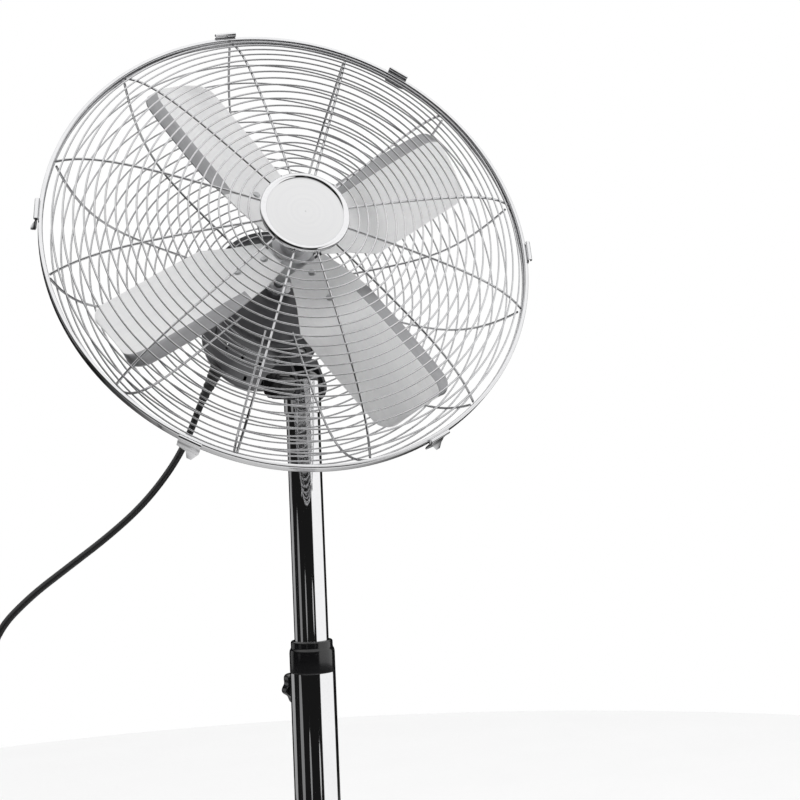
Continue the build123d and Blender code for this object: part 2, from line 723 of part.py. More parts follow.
with BuildPart() as crank:
    with BuildSketch(gear_plane(GEAR_LOW)):
        toothed(CRANK_GEAR_R - 0.3, CRANK_TEETH, 0.45)
    extrude(amount=GEAR_H)
    with BuildSketch(gear_plane(DISC_LOW + DISC_H)):
        Circle(STEM_R)
    extrude(amount=GEAR_LOW - DISC_LOW - DISC_H)
    with BuildSketch(gear_plane(DISC_LOW)):
        Circle(DISC_R)
    extrude(amount=DISC_H)
    with BuildSketch(gear_plane(DISC_LOW)):
        with Locations((eye_across - CRANK_ACROSS, pin_back)):
            Circle(PIN_R)
    extrude(amount=PIN_END - DISC_LOW)
save(crank, "crank")

LINK_HALF = 3.5
EYE_R = 5.0
with BuildPart() as swing_link:
    with BuildSketch(spindle_plane(LINK_LOW)):
        with BuildLine():
            Polyline((pin_across - LINK_HALF, pin_back), (eye_across - LINK_HALF, eye_back),
                     (eye_across + LINK_HALF, eye_back), (pin_across + LINK_HALF, pin_back),
                     close=True)
        make_face()
        with Locations((pin_across, pin_back), (eye_across, eye_back)):
            Circle(EYE_R)
        with Locations((pin_across, pin_back), (eye_across, eye_back)):
            Circle(PIN_R + SEAT, mode=Mode.SUBTRACT)
    extrude(amount=LINK_HIGH - LINK_LOW)
save(swing_link, "swing_link")

SHIFT_STEM_R = 2.4
SHIFT_STEM_FROM = 14.0
SHIFT_KNOB_R = 7.0
SHIFT_KNOB_H = 14.0
with BuildPart() as swing_knob:
    with BuildSketch(shift_plane(SHIFT_STEM_FROM)):
        Circle(SHIFT_STEM_R)
    extrude(amount=MOTOR_R - 10)
    with BuildSketch(shift_plane(MOTOR_R + 1)):
        Circle(SHIFT_KNOB_R)
    extrude(amount=SHIFT_KNOB_H, taper=5)
    fillet(swing_knob.faces().sort_by(Axis((0, 0, 0), head.y_dir))[-1].edges(), 1.5)
save(swing_knob, "swing_knob")

# ---- Switch, capacitor and cord gland --------------------------------------

SWITCH_AT = -224.7
SWITCH_W = 34.0
SWITCH_H = 12.5
SLEEVE_R = 4.8
SLEEVE_H = 4.0
STALK_R = 3.0
KNOB_BACK = -229.2
SPEED_KNOB_R = 14.0
SPEED_KNOB_H = 11.0
with BuildPart() as speed_switch:
    with BuildSketch(head.offset(SWITCH_AT)):
        Rectangle(SWITCH_W, SWITCH_W)
    extrude(amount=SWITCH_H)
    with BuildSketch(head.offset(SWITCH_AT)):
        Circle(SLEEVE_R)
    extrude(amount=-SLEEVE_H)
    with BuildSketch(head.offset(SWITCH_AT - SLEEVE_H)):
        Circle(STALK_R + CLEAR)
    extrude(amount=SLEEVE_H + 8, mode=Mode.SUBTRACT)
save(speed_switch, "speed_switch")

with BuildPart() as speed_knob:
    with BuildSketch(head.offset(-221)):
        Circle(STALK_R)
    extrude(amount=-10)
    with BuildSketch(head.offset(KNOB_BACK)):
        Circle(SPEED_KNOB_R)
        with PolarLocations(SPEED_KNOB_R + 1, 16):
            Circle(FLUTE_R, mode=Mode.SUBTRACT)
    extrude(amount=-SPEED_KNOB_H)
    with BuildSketch(head.offset(KNOB_BACK - SPEED_KNOB_H + 0.2)):
        RectangleRounded(5, 24, 2)
    extrude(amount=-4)
save(speed_knob, "speed_knob")

with BuildPart() as run_capacitor:
    with BuildSketch(head.offset(-206)):
        with Locations((-34, 24)):
            RectangleRounded(16, 26, 3)
    extrude(amount=26)
save(run_capacitor, "run_capacitor")

gland_face = facing_out(GLAND_TURN, GLAND_AT, MOTOR_R)
gland_back = radians(GLAND_BACK)
gland_dir = out_dir(GLAND_AIM) * cos(gland_back) - forward * sin(gland_back)
gland_end = gland_face.origin + gland_dir * GLAND_LENGTH
GLAND_COLLAR = 8.4
GLAND_WIDE = 6.2
GLAND_TIP = 4.4
with BuildPart() as cord_gland:
    with BuildSketch(gland_face.offset(-5)):
        Circle(GLAND_NECK)
    extrude(amount=7)
    with BuildSketch(gland_face.offset(1.8)):
        Circle(GLAND_COLLAR)
    extrude(amount=2.6)
    with BuildSketch(gland_face.offset(4.2)):
        Circle(GLAND_WIDE)
    with BuildSketch(Plane(origin=gland_end, z_dir=gland_dir)):
        Circle(GLAND_TIP)
    loft()
save(cord_gland, "cord_gland")

# ---- Rotor: shaft, core, hub, blades ---------------------------------------

WORM_R = 5.2
WORM_PITCH = 2.8
WORM_COUNT = 5
save(head_ring(SHAFT_R + 0.02, ROTOR_R, STATOR_BACK, STATOR_FRONT), "rotor_core")

with BuildPart() as motor_shaft:
    with BuildSketch(head.offset(-210)):
        Circle(SHAFT_R)
    extrude(amount=206)
    with BuildSketch(section()):
        worm_from = IDLER_AT - WORM_PITCH * (WORM_COUNT - 1) / 2
        with Locations(*[(SHAFT_R, worm_from + WORM_PITCH * k) for k in range(WORM_COUNT)]):
            RectangleRounded(2 * (WORM_R - SHAFT_R), 1.4, 0.3)
    revolve(axis=fan_axis)
save(motor_shaft, "motor_shaft")

HUB_R = 20.0
HUB_L = 36.0
ARM_W = 20.0
ARM_L = 56.0
ARM_THICK = 2.2
RIVET_R = 1.5
RIVET_HEAD_R = 3.4
CORNER = 7.0                # rounding of the blades' outer corners
RIVETS_AT = (32.0, 61.0)


def blade_plane(k):
    """The plane of one pitched blade, with local x along it."""
    turn = BLADE_TURN + k * 360 / BLADE_COUNT
    out = out_dir(turn)
    side = forward.cross(out)
    pitch = radians(BLADE_PITCH)
    face = forward * cos(pitch) - side * sin(pitch)
    return Plane(origin=rim_centre + forward * BLADE_AT, x_dir=out, z_dir=face)


with BuildPart() as hub_spider:
    with BuildSketch(head.offset(-46)):
        Circle(HUB_R)
    extrude(amount=HUB_L)
    for k in range(BLADE_COUNT):
        with BuildSketch(blade_plane(k).offset(-SHEET)):
            with Locations((40, 0)):
                Rectangle(ARM_L, ARM_W)
        extrude(amount=-ARM_THICK)
    with BuildSketch(head.offset(-50)):
        Circle(BORE)
    extrude(amount=60, mode=Mode.SUBTRACT)
    for k in range(BLADE_COUNT):
        with BuildSketch(blade_plane(k).offset(4)):
            with Locations(*[(at, 0) for at in RIVETS_AT]):
                Circle(RIVET_R + SEAT)
        extrude(amount=-12, mode=Mode.SUBTRACT)
save(hub_spider, "hub_spider")

OUTER_CORNERS = 60.0        # corners further out than this are rounded
blade_outline = [
    (22, -13), (70, -41), (171, -33), (189, -13), (194, 32), (185, 44), (120, 41), (55, 31),
    (22, 13)]


def make_blade(k):
    """One paddle of pressed sheet, flat in this model."""
    with BuildPart() as blade:
        with BuildSketch(blade_plane(k)) as sheet:
            with BuildLine():
                Polyline(*blade_outline, close=True)
            make_face()
            fillet([v for v in sheet.vertices() if v.X ** 2 + v.Y ** 2 > OUTER_CORNERS ** 2], CORNER)
            with Locations(*[(at, 0) for at in RIVETS_AT]):
                Circle(RIVET_R + SEAT, mode=Mode.SUBTRACT)
        extrude(amount=-SHEET)
        with BuildSketch(head.offset(-60)):
            Circle(HUB_R + 0.3)
        extrude(amount=90, mode=Mode.SUBTRACT)
    return blade


for k in range(BLADE_COUNT):
    save(make_blade(k), f"blade_{k + 1}")

with BuildPart() as blade_rivets:
    for k in range(BLADE_COUNT):
        for at in RIVETS_AT:
            with BuildSketch(blade_plane(k).offset(-SHEET - 3.4)):
                with Locations((at, 0)):
                    Circle(RIVET_R)
            extrude(amount=SHEET + 4.6)
            with BuildSketch(blade_plane(k).offset(PRESS)):
                with Locations((at, 0)):
                    Circle(RIVET_HEAD_R)
            extrude(amount=1.4)
save(blade_rivets, "blade_rivets")

NUT_BACK = -9.9
NUT_L = 8.0
BLADE_NUT_R = 13.0
NUT_CAP_R = 10.0
with BuildPart() as blade_nut:
    with BuildSketch(head.offset(NUT_BACK)):
        Circle(BLADE_NUT_R)
        Circle(BORE, mode=Mode.SUBTRACT)
    extrude(amount=NUT_L)
    with BuildSketch(head.offset(NUT_BACK + NUT_L)):
        Circle(NUT_CAP_R)
    extrude(amount=4)
save(blade_nut, "blade_nut")

# ---- Guards ----------------------------------------------------------------

FRONT_RISE = FRONT_DEPTH - RIM_GAP
REAR_RISE = REAR_DEPTH - RIM_GAP
FRONT_SQUARE = 0.45         # share of each dome that falls as the square of the radius
REAR_SQUARE = 0.15
REAR_INNER = 50.0
FRONT_RIBS_FROM = 37.0
REAR_RIBS_FROM = 52.0
SLOPE_STEP = 0.5


def front_curve(radius):
    """How far the front guard's wires stand ahead of the rim plane."""
    x = radius / HOOP_R
    return RIM_GAP + FRONT_RISE * (1 - FRONT_SQUARE * x ** 2 - (1 - FRONT_SQUARE) * x ** 8)


def rear_curve(radius):
    """The rear guard's wires, behind the rim plane, so negative."""
    x = radius / HOOP_R
    return -RIM_GAP - REAR_RISE * (1 - REAR_SQUARE * x ** 2 - (1 - REAR_SQUARE) * x ** 8)


def inside_of(curve, radius, depth, forward_side):
    """A point this deep under the wires, square to their surface."""
    slope = (curve(radius + SLOPE_STEP) - curve(radius - SLOPE_STEP)) / (2 * SLOPE_STEP)
    size = sqrt(1 + slope ** 2)
    sign = 1 if forward_side else -1
    return (radius + sign * slope / size * depth, curve(radius) - sign * depth / size)


def guard_rings(curve, inner, count):
    """Concentric wires from an inner radius to the hoop at the rim."""
    pitch = (HOOP_R - inner) / (count + 1)
    with BuildPart() as rings:
        with BuildSketch(section()):
            for k in range(1, count + 1):
                radius = inner + pitch * k
                with Locations((radius, curve(radius))):
                    Circle(WIRE_R)
            with Locations((HOOP_R, curve(HOOP_R))):
                Circle(RIB_R)
        revolve(axis=fan_axis)
    return rings


RIB_DEPTH = WIRE_R + RIB_R + 0.2
RIB_STOPS = (0.30, 0.55, 0.75, 0.88, 0.95)


def guard_ribs(curve, inner, forward_side):
    """Radial wires that lie under the rings and hold them."""
    radii = [inner] + [HOOP_R * stop for stop in RIB_STOPS]
    points = [inside_of(curve, r, RIB_DEPTH, forward_side) for r in radii]
    points.append(inside_of(curve, HOOP_R - 1.0, 2 * RIB_R + 0.15, forward_side))
    with BuildPart() as ribs:
        for k in range(RIB_COUNT):
            plane = section(GUARD_TURN + k * 360 / RIB_COUNT)
            with BuildLine(plane) as path:
                Spline(*points)
            with BuildSketch(Plane(origin=path.line @ 0, z_dir=path.line % 0)):
                Circle(RIB_R)
            sweep(path=path.wires()[0])
    return ribs


save(guard_rings(front_curve, BADGE_R + 3, FRONT_RINGS), "front_rings")
save(guard_rings(rear_curve, REAR_INNER, REAR_RINGS), "rear_rings")
save(guard_ribs(front_curve, FRONT_RIBS_FROM, True), "front_ribs")

# The rear wires are welded to a plate that the guard nut clamps on the motor.
PLATE_BACK = -REAR_DEPTH - 2.2
PLATE_R = 64.0
PLATE_THICK = 1.2
THREAD_HOLE = 8.7
rear_ribs = guard_ribs(rear_curve, REAR_RIBS_FROM, False)
with BuildPart() as rear_frame:
    add(rear_ribs.part)
    with BuildSketch(head.offset(PLATE_BACK)):
        Circle(PLATE_R)
        Circle(THREAD_HOLE, mode=Mode.SUBTRACT)
        with PolarLocations(30, 4):
            Circle(7, mode=Mode.SUBTRACT)
    extrude(amount=PLATE_THICK)
save(rear_frame, "rear_frame")

GUARD_NUT_BACK = PLATE_BACK + PLATE_THICK + CLEAR
GUARD_NUT_R = 13.0
with BuildPart() as guard_nut:
    with BuildSketch(head.offset(GUARD_NUT_BACK)):
        Circle(GUARD_NUT_R)
        with PolarLocations(GUARD_NUT_R + 1.4, 10):
            Circle(2.4, mode=Mode.SUBTRACT)
        Circle(THREAD_R + SEAT, mode=Mode.SUBTRACT)
    extrude(amount=8)
save(guard_nut, "guard_nut")

# The badge ring clamps the innermost wires, and the plain badge fills it.
save(
    turned(
        [(BADGE_R, FRONT_DEPTH - 0.7), (BADGE_R + 1.6, FRONT_DEPTH - 0.7),
         (BADGE_R + 2.2, FRONT_DEPTH + 0.6), (BADGE_R + 1.2, FRONT_DEPTH + 3.4),
         (BADGE_R - 1.2, FRONT_DEPTH + 4.0), (BADGE_R - 3.4, FRONT_DEPTH + 3.2),
         (BADGE_R - 3.4, FRONT_DEPTH + 2.4), (BADGE_R, FRONT_DEPTH + 2.0)],
        section(), fan_axis),
    "badge_ring")

BADGE_THICK = 2.4
with BuildPart() as badge:
    with BuildSketch(head.offset(FRONT_DEPTH - 0.6)):
        Circle(BADGE_R - CLEAR)
    extrude(amount=BADGE_THICK)
save(badge, "badge")

BAND_HALF = 5.0
BAND_WALL = 1.0
LIP_DEPTH = 3.2
LIP_WALL = 0.8
band_outline = [
    (GUARD_R, -BAND_HALF), (GUARD_R, BAND_HALF), (GUARD_R - LIP_DEPTH, BAND_HALF),
    (GUARD_R - LIP_DEPTH, BAND_HALF - LIP_WALL), (GUARD_R - BAND_WALL, BAND_HALF - LIP_WALL),
    (GUARD_R - BAND_WALL, LIP_WALL - BAND_HALF), (GUARD_R - LIP_DEPTH, LIP_WALL - BAND_HALF),
    (GUARD_R - LIP_DEPTH, -BAND_HALF)]
save(turned(band_outline, section(), fan_axis), "rim_band")

# ---- Rim latches -----------------------------------------------------------

LATCH_PIN_AT = 6.5          # hinge of each latch, ahead of the rim plane
LATCH_W = 20.0
LATCH_GAP = 1.0
BARREL_R = 1.9
TONGUE_W = 10.0
TONGUE_SIDE = 9.0           # the tongue starts here, off the plate's middle


def make_latch(angle):
    """One over-centre clip: a rolled hinge, a plate over the band, a tongue."""
    low = GUARD_R + LATCH_GAP
    with BuildPart() as latch:
        with BuildSketch(section(angle).offset(-LATCH_W / 2)):
            with Locations((low + 0.4, LATCH_PIN_AT)):
                Circle(BARREL_R)
            with BuildLine():
                Polyline(
                    (low, LATCH_PIN_AT), (low, -9), (low + 0.6, -13), (low + 1.8, -13),
                    (low + 1.2, -9), (low + 1.2, LATCH_PIN_AT), close=True)
            make_face()
        extrude(amount=LATCH_W)
        with BuildSketch(section(angle).offset(-TONGUE_SIDE)):
            with BuildLine():
                Polyline(
                    (low + 0.6, -12), (low + 5.0, -19), (low + 6.0, -18.4),
                    (low + 1.6, -11), close=True)
            make_face()
        extrude(amount=TONGUE_W)
    return latch


for k, angle in enumerate(LATCH_ANGLES):
    save(make_latch(angle), f"latch_{k + 1}")

# ---- Cord ------------------------------------------------------------------

# The route is chosen by hand. Each stretch ends halfway along a run.
upper_route = [
    gland_end,
    gland_end + gland_dir * 18,
    Vector(-101, 86, 880),
    Vector(-121, 80, 847),
    Vector(-151, 74, 812),
    Vector(-186, 69, 783),
    Vector(-223, 64, 757),
]
middle_route = [
    Vector(-257, 59, 729),
    Vector(-283, 54, 692),
    Vector(-298, 50, 646),
    Vector(-306, 46, 594),
    Vector(-310, 42, 536),
]
lower_route = [
    Vector(-312, 38, 474),
    Vector(-312.5, 33, 410),
    Vector(-311, 28, 345),
    Vector(-308, 24, 280),
    Vector(-304, 22, 216),
    Vector(-300, 22, 158),
    Vector(-297, 25, 106),
    Vector(-296, 33, 62),
    Vector(-296, 50, 25),
    Vector(-297, 77, 7),
    Vector(-297.5, 108, 3.8),
]
upper_end = (upper_route[-1] + middle_route[0]) * 0.5
middle_end = (middle_route[-1] + lower_route[0]) * 0.5


def cord_tube(points, name):
    """A tube along straight runs joined by the largest arcs that fit."""
    radii = []
    for before, here, after in zip(points, points[1:], points[2:]):
        turn = (here - before).get_angle(after - here)
        shorter = min((here - before).length, (after - here).length)
        radii.append(0.45 * shorter / tan(radians(turn) / 2))
    with BuildPart() as tube:
        with BuildLine() as path:
            FilletPolyline(*points, radius=radii)
        with BuildSketch(Plane(origin=path.line @ 0, z_dir=path.line % 0)):
            Circle(CORD_R)
        sweep(path=path.wires()[0])
    ideal = pi * CORD_R ** 2 * path.wires()[0].length
    print(name, "length", round(path.wires()[0].length, 1), "radii",
          [round(r) for r in radii], "volume ratio", round(tube.part.volume / ideal, 4))
    save(tube, name)


cord_tube(upper_route + [upper_end], "cord_upper")
cord_tube([upper_end] + middle_route + [middle_end], "cord_middle")
cord_tube([middle_end] + lower_route, "cord_lower")

# The put-away length: a round coil on the floor, held by a strap.
COIL = (-255.0, 125.0)
COIL_R = 38.0
COIL_W = 15.0
COIL_H = 13.2
with BuildPart() as cord_coil:
    with BuildSketch(Plane.XZ.offset(-COIL[1])):
        with Locations((COIL[0] + COIL_R, COIL_H / 2)):
            RectangleRounded(COIL_W, COIL_H, 5)
    revolve(axis=Axis((COIL[0], COIL[1], 0), (0, 0, 1)))
save(cord_coil, "cord_coil")

# The plug lies beside the coil, with its cord side against the turns.
PLUG_X = COIL[0] + COIL_R + 3.5
PLUG_Y = COIL[1] - 14
PLUG_Z = 7.2
PLUG_L = 30.0
PLUG_W = 28.0
PLUG_H = 14.0
PLUG_NECK = 9.0
PLUG_PIN_R = 2.0
PLUG_PIN_L = 19.0
PLUG_PIN_ACROSS = 9.3


def plug_plane(along):
    """A plane square to the plug, this far on from the end of its cord."""
    return Plane(origin=(PLUG_X, PLUG_Y - along, PLUG_Z), x_dir=(1, 0, 0), z_dir=(0, -1, 0))


with BuildPart() as plug:
    with BuildSketch(plug_plane(0)):
        RectangleRounded(PLUG_NECK, PLUG_NECK, 4)
    with BuildSketch(plug_plane(PLUG_L)):
        RectangleRounded(PLUG_W, PLUG_H, 6)
    loft()
    with BuildSketch(plug_plane(PLUG_L)):
        with Locations((-PLUG_PIN_ACROSS, 0), (PLUG_PIN_ACROSS, 0)):
            Circle(PLUG_PIN_R)
    extrude(amount=PLUG_PIN_L)
save(plug, "plug")
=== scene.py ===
"""Looks for the chrome pedestal fan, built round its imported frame."""

import json
import logging
import math
from dataclasses import dataclass, field
from enum import Enum

import bmesh
import bpy
import numpy as np
from mathutils import Matrix, Vector


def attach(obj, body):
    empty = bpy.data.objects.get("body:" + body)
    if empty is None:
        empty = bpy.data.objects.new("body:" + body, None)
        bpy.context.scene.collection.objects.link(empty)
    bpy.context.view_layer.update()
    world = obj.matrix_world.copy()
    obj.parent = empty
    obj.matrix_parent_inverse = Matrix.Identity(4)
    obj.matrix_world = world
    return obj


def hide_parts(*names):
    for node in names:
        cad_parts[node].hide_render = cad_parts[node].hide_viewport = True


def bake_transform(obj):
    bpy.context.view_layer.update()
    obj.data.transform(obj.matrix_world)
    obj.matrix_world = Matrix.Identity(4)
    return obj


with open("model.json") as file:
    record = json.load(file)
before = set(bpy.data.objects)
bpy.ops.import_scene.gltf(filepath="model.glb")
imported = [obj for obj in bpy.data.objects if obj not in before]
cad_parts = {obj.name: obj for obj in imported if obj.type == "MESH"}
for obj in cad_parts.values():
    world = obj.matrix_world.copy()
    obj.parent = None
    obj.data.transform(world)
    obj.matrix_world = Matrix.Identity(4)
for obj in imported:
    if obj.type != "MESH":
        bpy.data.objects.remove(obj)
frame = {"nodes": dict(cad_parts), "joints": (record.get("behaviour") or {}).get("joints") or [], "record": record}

log = logging.getLogger("pedestal_fan")

Array = np.ndarray
TURN = 2 * math.pi

# Socket numbers of a Mix node: a float mix, then a colour mix.
FLOAT_A, FLOAT_B, FLOAT_OUT = 2, 3, 0
COLOUR_A, COLOUR_B, COLOUR_OUT = 6, 7, 2


# ---- Axes and places -------------------------------------------------------


@dataclass(frozen=True)
class Axes:
    """A right-handed set of axes with an origin, in metres in the row frame."""

    origin: Array
    x: Array
    y: Array
    z: Array

    def at(self, across: Array | float, above: Array | float, along: Array | float) -> Array:
        """Points given along the three axes.

        Args:
            across: Distances along x.
            above: Distances along y.
            along: Distances along z.

        Returns:
            The points in the row frame, with the inputs' shape and a last axis of 3.
        """
        a, b, c = np.broadcast_arrays(across, above, along)
        return self.origin + a[..., None] * self.x + b[..., None] * self.y + c[..., None] * self.z

    def moved(self, across: float = 0.0, above: float = 0.0, along: float = 0.0) -> "Axes":
        """The same axes with their origin moved along themselves."""
        return Axes(self.at(across, above, along), self.x, self.y, self.z)

    def turned(self, angle: float) -> "Axes":
        """The same axes turned about z by an angle in radians."""
        x = self.x * math.cos(angle) + self.y * math.sin(angle)
        return Axes(self.origin, x, np.cross(self.z, x), self.z)

    def euler(self) -> tuple[float, float, float]:
        """The rotation, as XYZ angles, that a Mapping node needs to undo these axes."""
        return tuple(Matrix(np.stack([self.x, self.y, self.z])).to_euler("XYZ"))


def unit(vector: Array) -> Array:
    """The vector at length one."""
    return vector / np.linalg.norm(vector)


def joint(name: str) -> dict:
    """The frame's joint of that name."""
    return next(j for j in frame["joints"] if j["name"] == name)


def axes_about(direction: Array, origin: Array, hint: Array) -> Axes:
    """Axes whose z is the direction and whose x is the hint, squared to it.

    Args:
        direction: The way that z points, of any length.
        origin: Where the axes start.
        hint: Roughly the way that x points.

    Returns:
        The axes.
    """
    z = unit(direction)
    x = unit(hint - z * np.dot(hint, z))
    return Axes(np.asarray(origin, float), x, np.cross(z, x), z)


def head_axes() -> Axes:
    """The fan's own axes: z forwards along the shaft, y up along the spindle.

    Returns:
        The axes, with their origin at the shaft's joint.
    """
    spin = joint("fan_spin")
    up = unit(np.array(joint("swivel")["axis"], float))
    z = unit(np.array(spin["axis"], float))
    return Axes(np.array(spin["pos_m"], float), np.cross(up, z), up, z)


HEAD = head_axes()
POLE = Axes(np.zeros(3), np.array([1.0, 0, 0]), np.array([0, 1.0, 0]), np.array([0, 0, 1.0]))


# ---- Surfaces --------------------------------------------------------------


@dataclass
class Skin:
    """A mesh being put together from grids of points."""

    name: str
    points: list[Array] = field(default_factory=list)
    quads: list[Array] = field(default_factory=list)
    fans: list[Array] = field(default_factory=list)
    count: int = 0

    def grid(self, points: Array, wrap_rows: bool = False, wrap_cols: bool = False,
             cap_rows: bool = False) -> "Skin":
        """Adds a grid of points as quads between neighbours.

        Args:
            points: Points of shape (..., rows, cols, 3); leading axes are copies.
            wrap_rows: Whether the last row joins the first.
            wrap_cols: Whether the last column joins the first.
            cap_rows: Whether the first and last rows are closed by one face each.

        Returns:
            The skin itself, for the next grid.
        """
        rows, cols = points.shape[-3:-1]
        copies = points.reshape(-1, rows, cols, 3)
        index = np.arange(rows * cols).reshape(rows, cols)
        if wrap_rows:
            index = np.vstack([index, index[:1]])
        if wrap_cols:
            index = np.hstack([index, index[:, :1]])
        corners = (index[:-1, :-1], index[1:, :-1], index[1:, 1:], index[:-1, 1:])
        quads = np.stack(corners, axis=-1).reshape(-1, 4)
        steps = self.count + np.arange(len(copies)) * rows * cols
        self.quads.append((steps[:, None, None] + quads).reshape(-1, 4))
        if cap_rows:
            ends = np.arange(rows * cols).reshape(rows, cols)[[0, -1]]
            self.fans.append((steps[:, None, None] + ends).reshape(-1, cols))
        self.points.append(copies.reshape(-1, 3))
        self.count += len(copies) * rows * cols
        return self

    def build(self, sharp: float = 35.0) -> bpy.types.Object:
        """Makes the object, with faces outwards and edges sharp past an angle.

        Args:
            sharp: Edges that turn by more than this many degrees stay crisp.

        Returns:
            The new mesh object, at the origin and unturned.
        """
        mesh = bpy.data.meshes.new(self.name)
        points = np.concatenate(self.points)
        quads = np.concatenate(self.quads)
        loops = [quads.ravel()] + [fan.ravel() for fan in self.fans]
        sizes = [np.full(len(quads), 4)] + [np.full(len(f), f.shape[1]) for f in self.fans]
        loop_ids, totals = np.concatenate(loops), np.concatenate(sizes)
        mesh.vertices.add(len(points))
        mesh.vertices.foreach_set("co", points.astype(np.float32).ravel())
        mesh.loops.add(len(loop_ids))
        mesh.loops.foreach_set("vertex_index", loop_ids.astype(np.int32))
        mesh.polygons.add(len(totals))
        starts = np.concatenate([[0], np.cumsum(totals)[:-1]])
        mesh.polygons.foreach_set("loop_start", starts.astype(np.int32))
        mesh.update(calc_edges=True)
        shell = bmesh.new()
        shell.from_mesh(mesh)
        bmesh.ops.recalc_face_normals(shell, faces=shell.faces)
        shell.to_mesh(mesh)
        shell.free()
        mesh.shade_smooth()
        mesh.set_sharp_from_angle(angle=math.radians(sharp))
        piece = bpy.data.objects.new(self.name, mesh)
        bpy.context.collection.objects.link(piece)
        return piece


def circle(count: int, start: float = 0.0) -> Array:
    """Evenly spaced angles once round."""
    return start + np.arange(count) * TURN / count


def lathe(axes: Axes, profile: Array, segments: int) -> Array:
    """A profile of (radius, along) spun about z: point = r cos t x + r sin t y + s z.

    Args:
        axes: The axes to spin about.
        profile: The outline, of shape (..., n, 2).
        segments: How many steps round.

    Returns:
        A grid of shape (..., n, segments, 3).
    """
    t = circle(segments)
    r, s = profile[..., 0][..., None], profile[..., 1][..., None]
    return axes.at(r * np.cos(t), r * np.sin(t), s + 0 * t)


def arc(centre: tuple[float, float], radius: float, start: float, end: float, steps: int) -> Array:
    """Points on an arc in a profile's plane, angles in degrees."""
    a = np.radians(np.linspace(start, end, steps))
    return np.stack([centre[0] + radius * np.cos(a), centre[1] + radius * np.sin(a)], axis=-1)


def rounded(corners: list[tuple[float, float]], radius: float, steps: int = 5) -> Array:
    """A closed outline with each corner rounded.

    Each corner is cut back by the radius along both sides, and a quadratic
    curve with the corner as its middle control joins the two cuts.

    Args:
        corners: The outline's corners in order.
        radius: How far back each corner is cut.
        steps: Points on each rounded corner.

    Returns:
        The outline's points, of shape (corners * steps, 2).
    """
    here = np.array(corners, float)
    before, after = np.roll(here, 1, axis=0), np.roll(here, -1, axis=0)
    span_a = np.linalg.norm(before - here, axis=1, keepdims=True)
    span_b = np.linalg.norm(after - here, axis=1, keepdims=True)
    start = here + (before - here) / span_a * np.minimum(radius, span_a * 0.45)
    end = here + (after - here) / span_b * np.minimum(radius, span_b * 0.45)
    t = np.linspace(0, 1, steps)[None, :, None]
    curve = (1 - t) ** 2 * start[:, None] + 2 * t * (1 - t) * here[:, None] + t ** 2 * end[:, None]
    return curve.reshape(-1, 2)


def along_path(centres: Array, side: Array, up: Array, radius: Array | float, sides: int) -> Array:
    """A round section carried along a path: centre + r (cos a side + sin a up).

    Args:
        centres: Path points, of shape (..., n, 3).
        side: A direction square to the path at each point.
        up: The direction square to both.
        radius: The section's radius at each point.
        sides: Points round the section.

    Returns:
        A grid of shape (..., n, sides, 3).
    """
    a = circle(sides)[:, None]
    r = np.asarray(radius)[..., None, None] if np.ndim(radius) else radius
    ring = np.cos(a) * side[..., None, :] + np.sin(a) * up[..., None, :]
    return centres[..., None, :] + r * ring


# ---- Finishes --------------------------------------------------------------


class Pattern(Enum):
    """How a finish's grain lies on its piece."""

    CAST = "cast"
    DRAWN = "drawn"
    TURNED = "turned"
    STACKED = "stacked"


def add_sockets(group: bpy.types.NodeTree, inputs: dict[str, str], outputs: dict[str, str]) -> None:
    """Names a group's sockets.

    Args:
        group: The node group.
        inputs: Socket names with their kinds.
        outputs: Socket names with their kinds.
    """
    for way, sockets in (("INPUT", inputs), ("OUTPUT", outputs)):
        for name, kind in sockets.items():
            group.interface.new_socket(name, in_out=way, socket_type=f"NodeSocket{kind}")


def calc(tree: bpy.types.NodeTree, operation: str,
         *values: bpy.types.NodeSocket | float) -> bpy.types.NodeSocket:
    """A Math node.

    Args:
        tree: The nodes that it joins.
        operation: Its operation.
        values: What goes into it, as sockets or plain numbers.

    Returns:
        The socket with the result.
    """
    node = tree.nodes.new("ShaderNodeMath")
    node.operation = operation
    for socket, value in zip(node.inputs, values):
        if isinstance(value, bpy.types.NodeSocket):
            tree.links.new(value, socket)
        else:
            socket.default_value = value
    return node.outputs[0]


def remap(tree: bpy.types.NodeTree, value: bpy.types.NodeSocket, band: tuple[float, float],
          onto: tuple[float, float], kind: str = "SMOOTHSTEP") -> bpy.types.NodeSocket:
    """A Map Range node.

    Args:
        tree: The nodes that it joins.
        value: The value to map.
        band: The value's two ends.
        onto: What the result is at those ends.
        kind: How it goes from one to the other.

    Returns:
        The socket with the result.
    """
    node = tree.nodes.new("ShaderNodeMapRange")
    node.interpolation_type = kind
    for socket, end in zip(("From Min", "From Max", "To Min", "To Max"), band + onto):
        node.inputs[socket].default_value = end
    tree.links.new(value, node.inputs["Value"])
    return node.outputs["Result"]


# The broad noise's scale against the fine one's, the fine noise's share of the
# blend, the band of the blend that is spread from 0 to 1, and the dent's depth.
BROAD_SCALE = 0.07
FINE_SHARE = 0.45
GRAIN_BAND = (0.3, 0.7)
DENT = 0.001


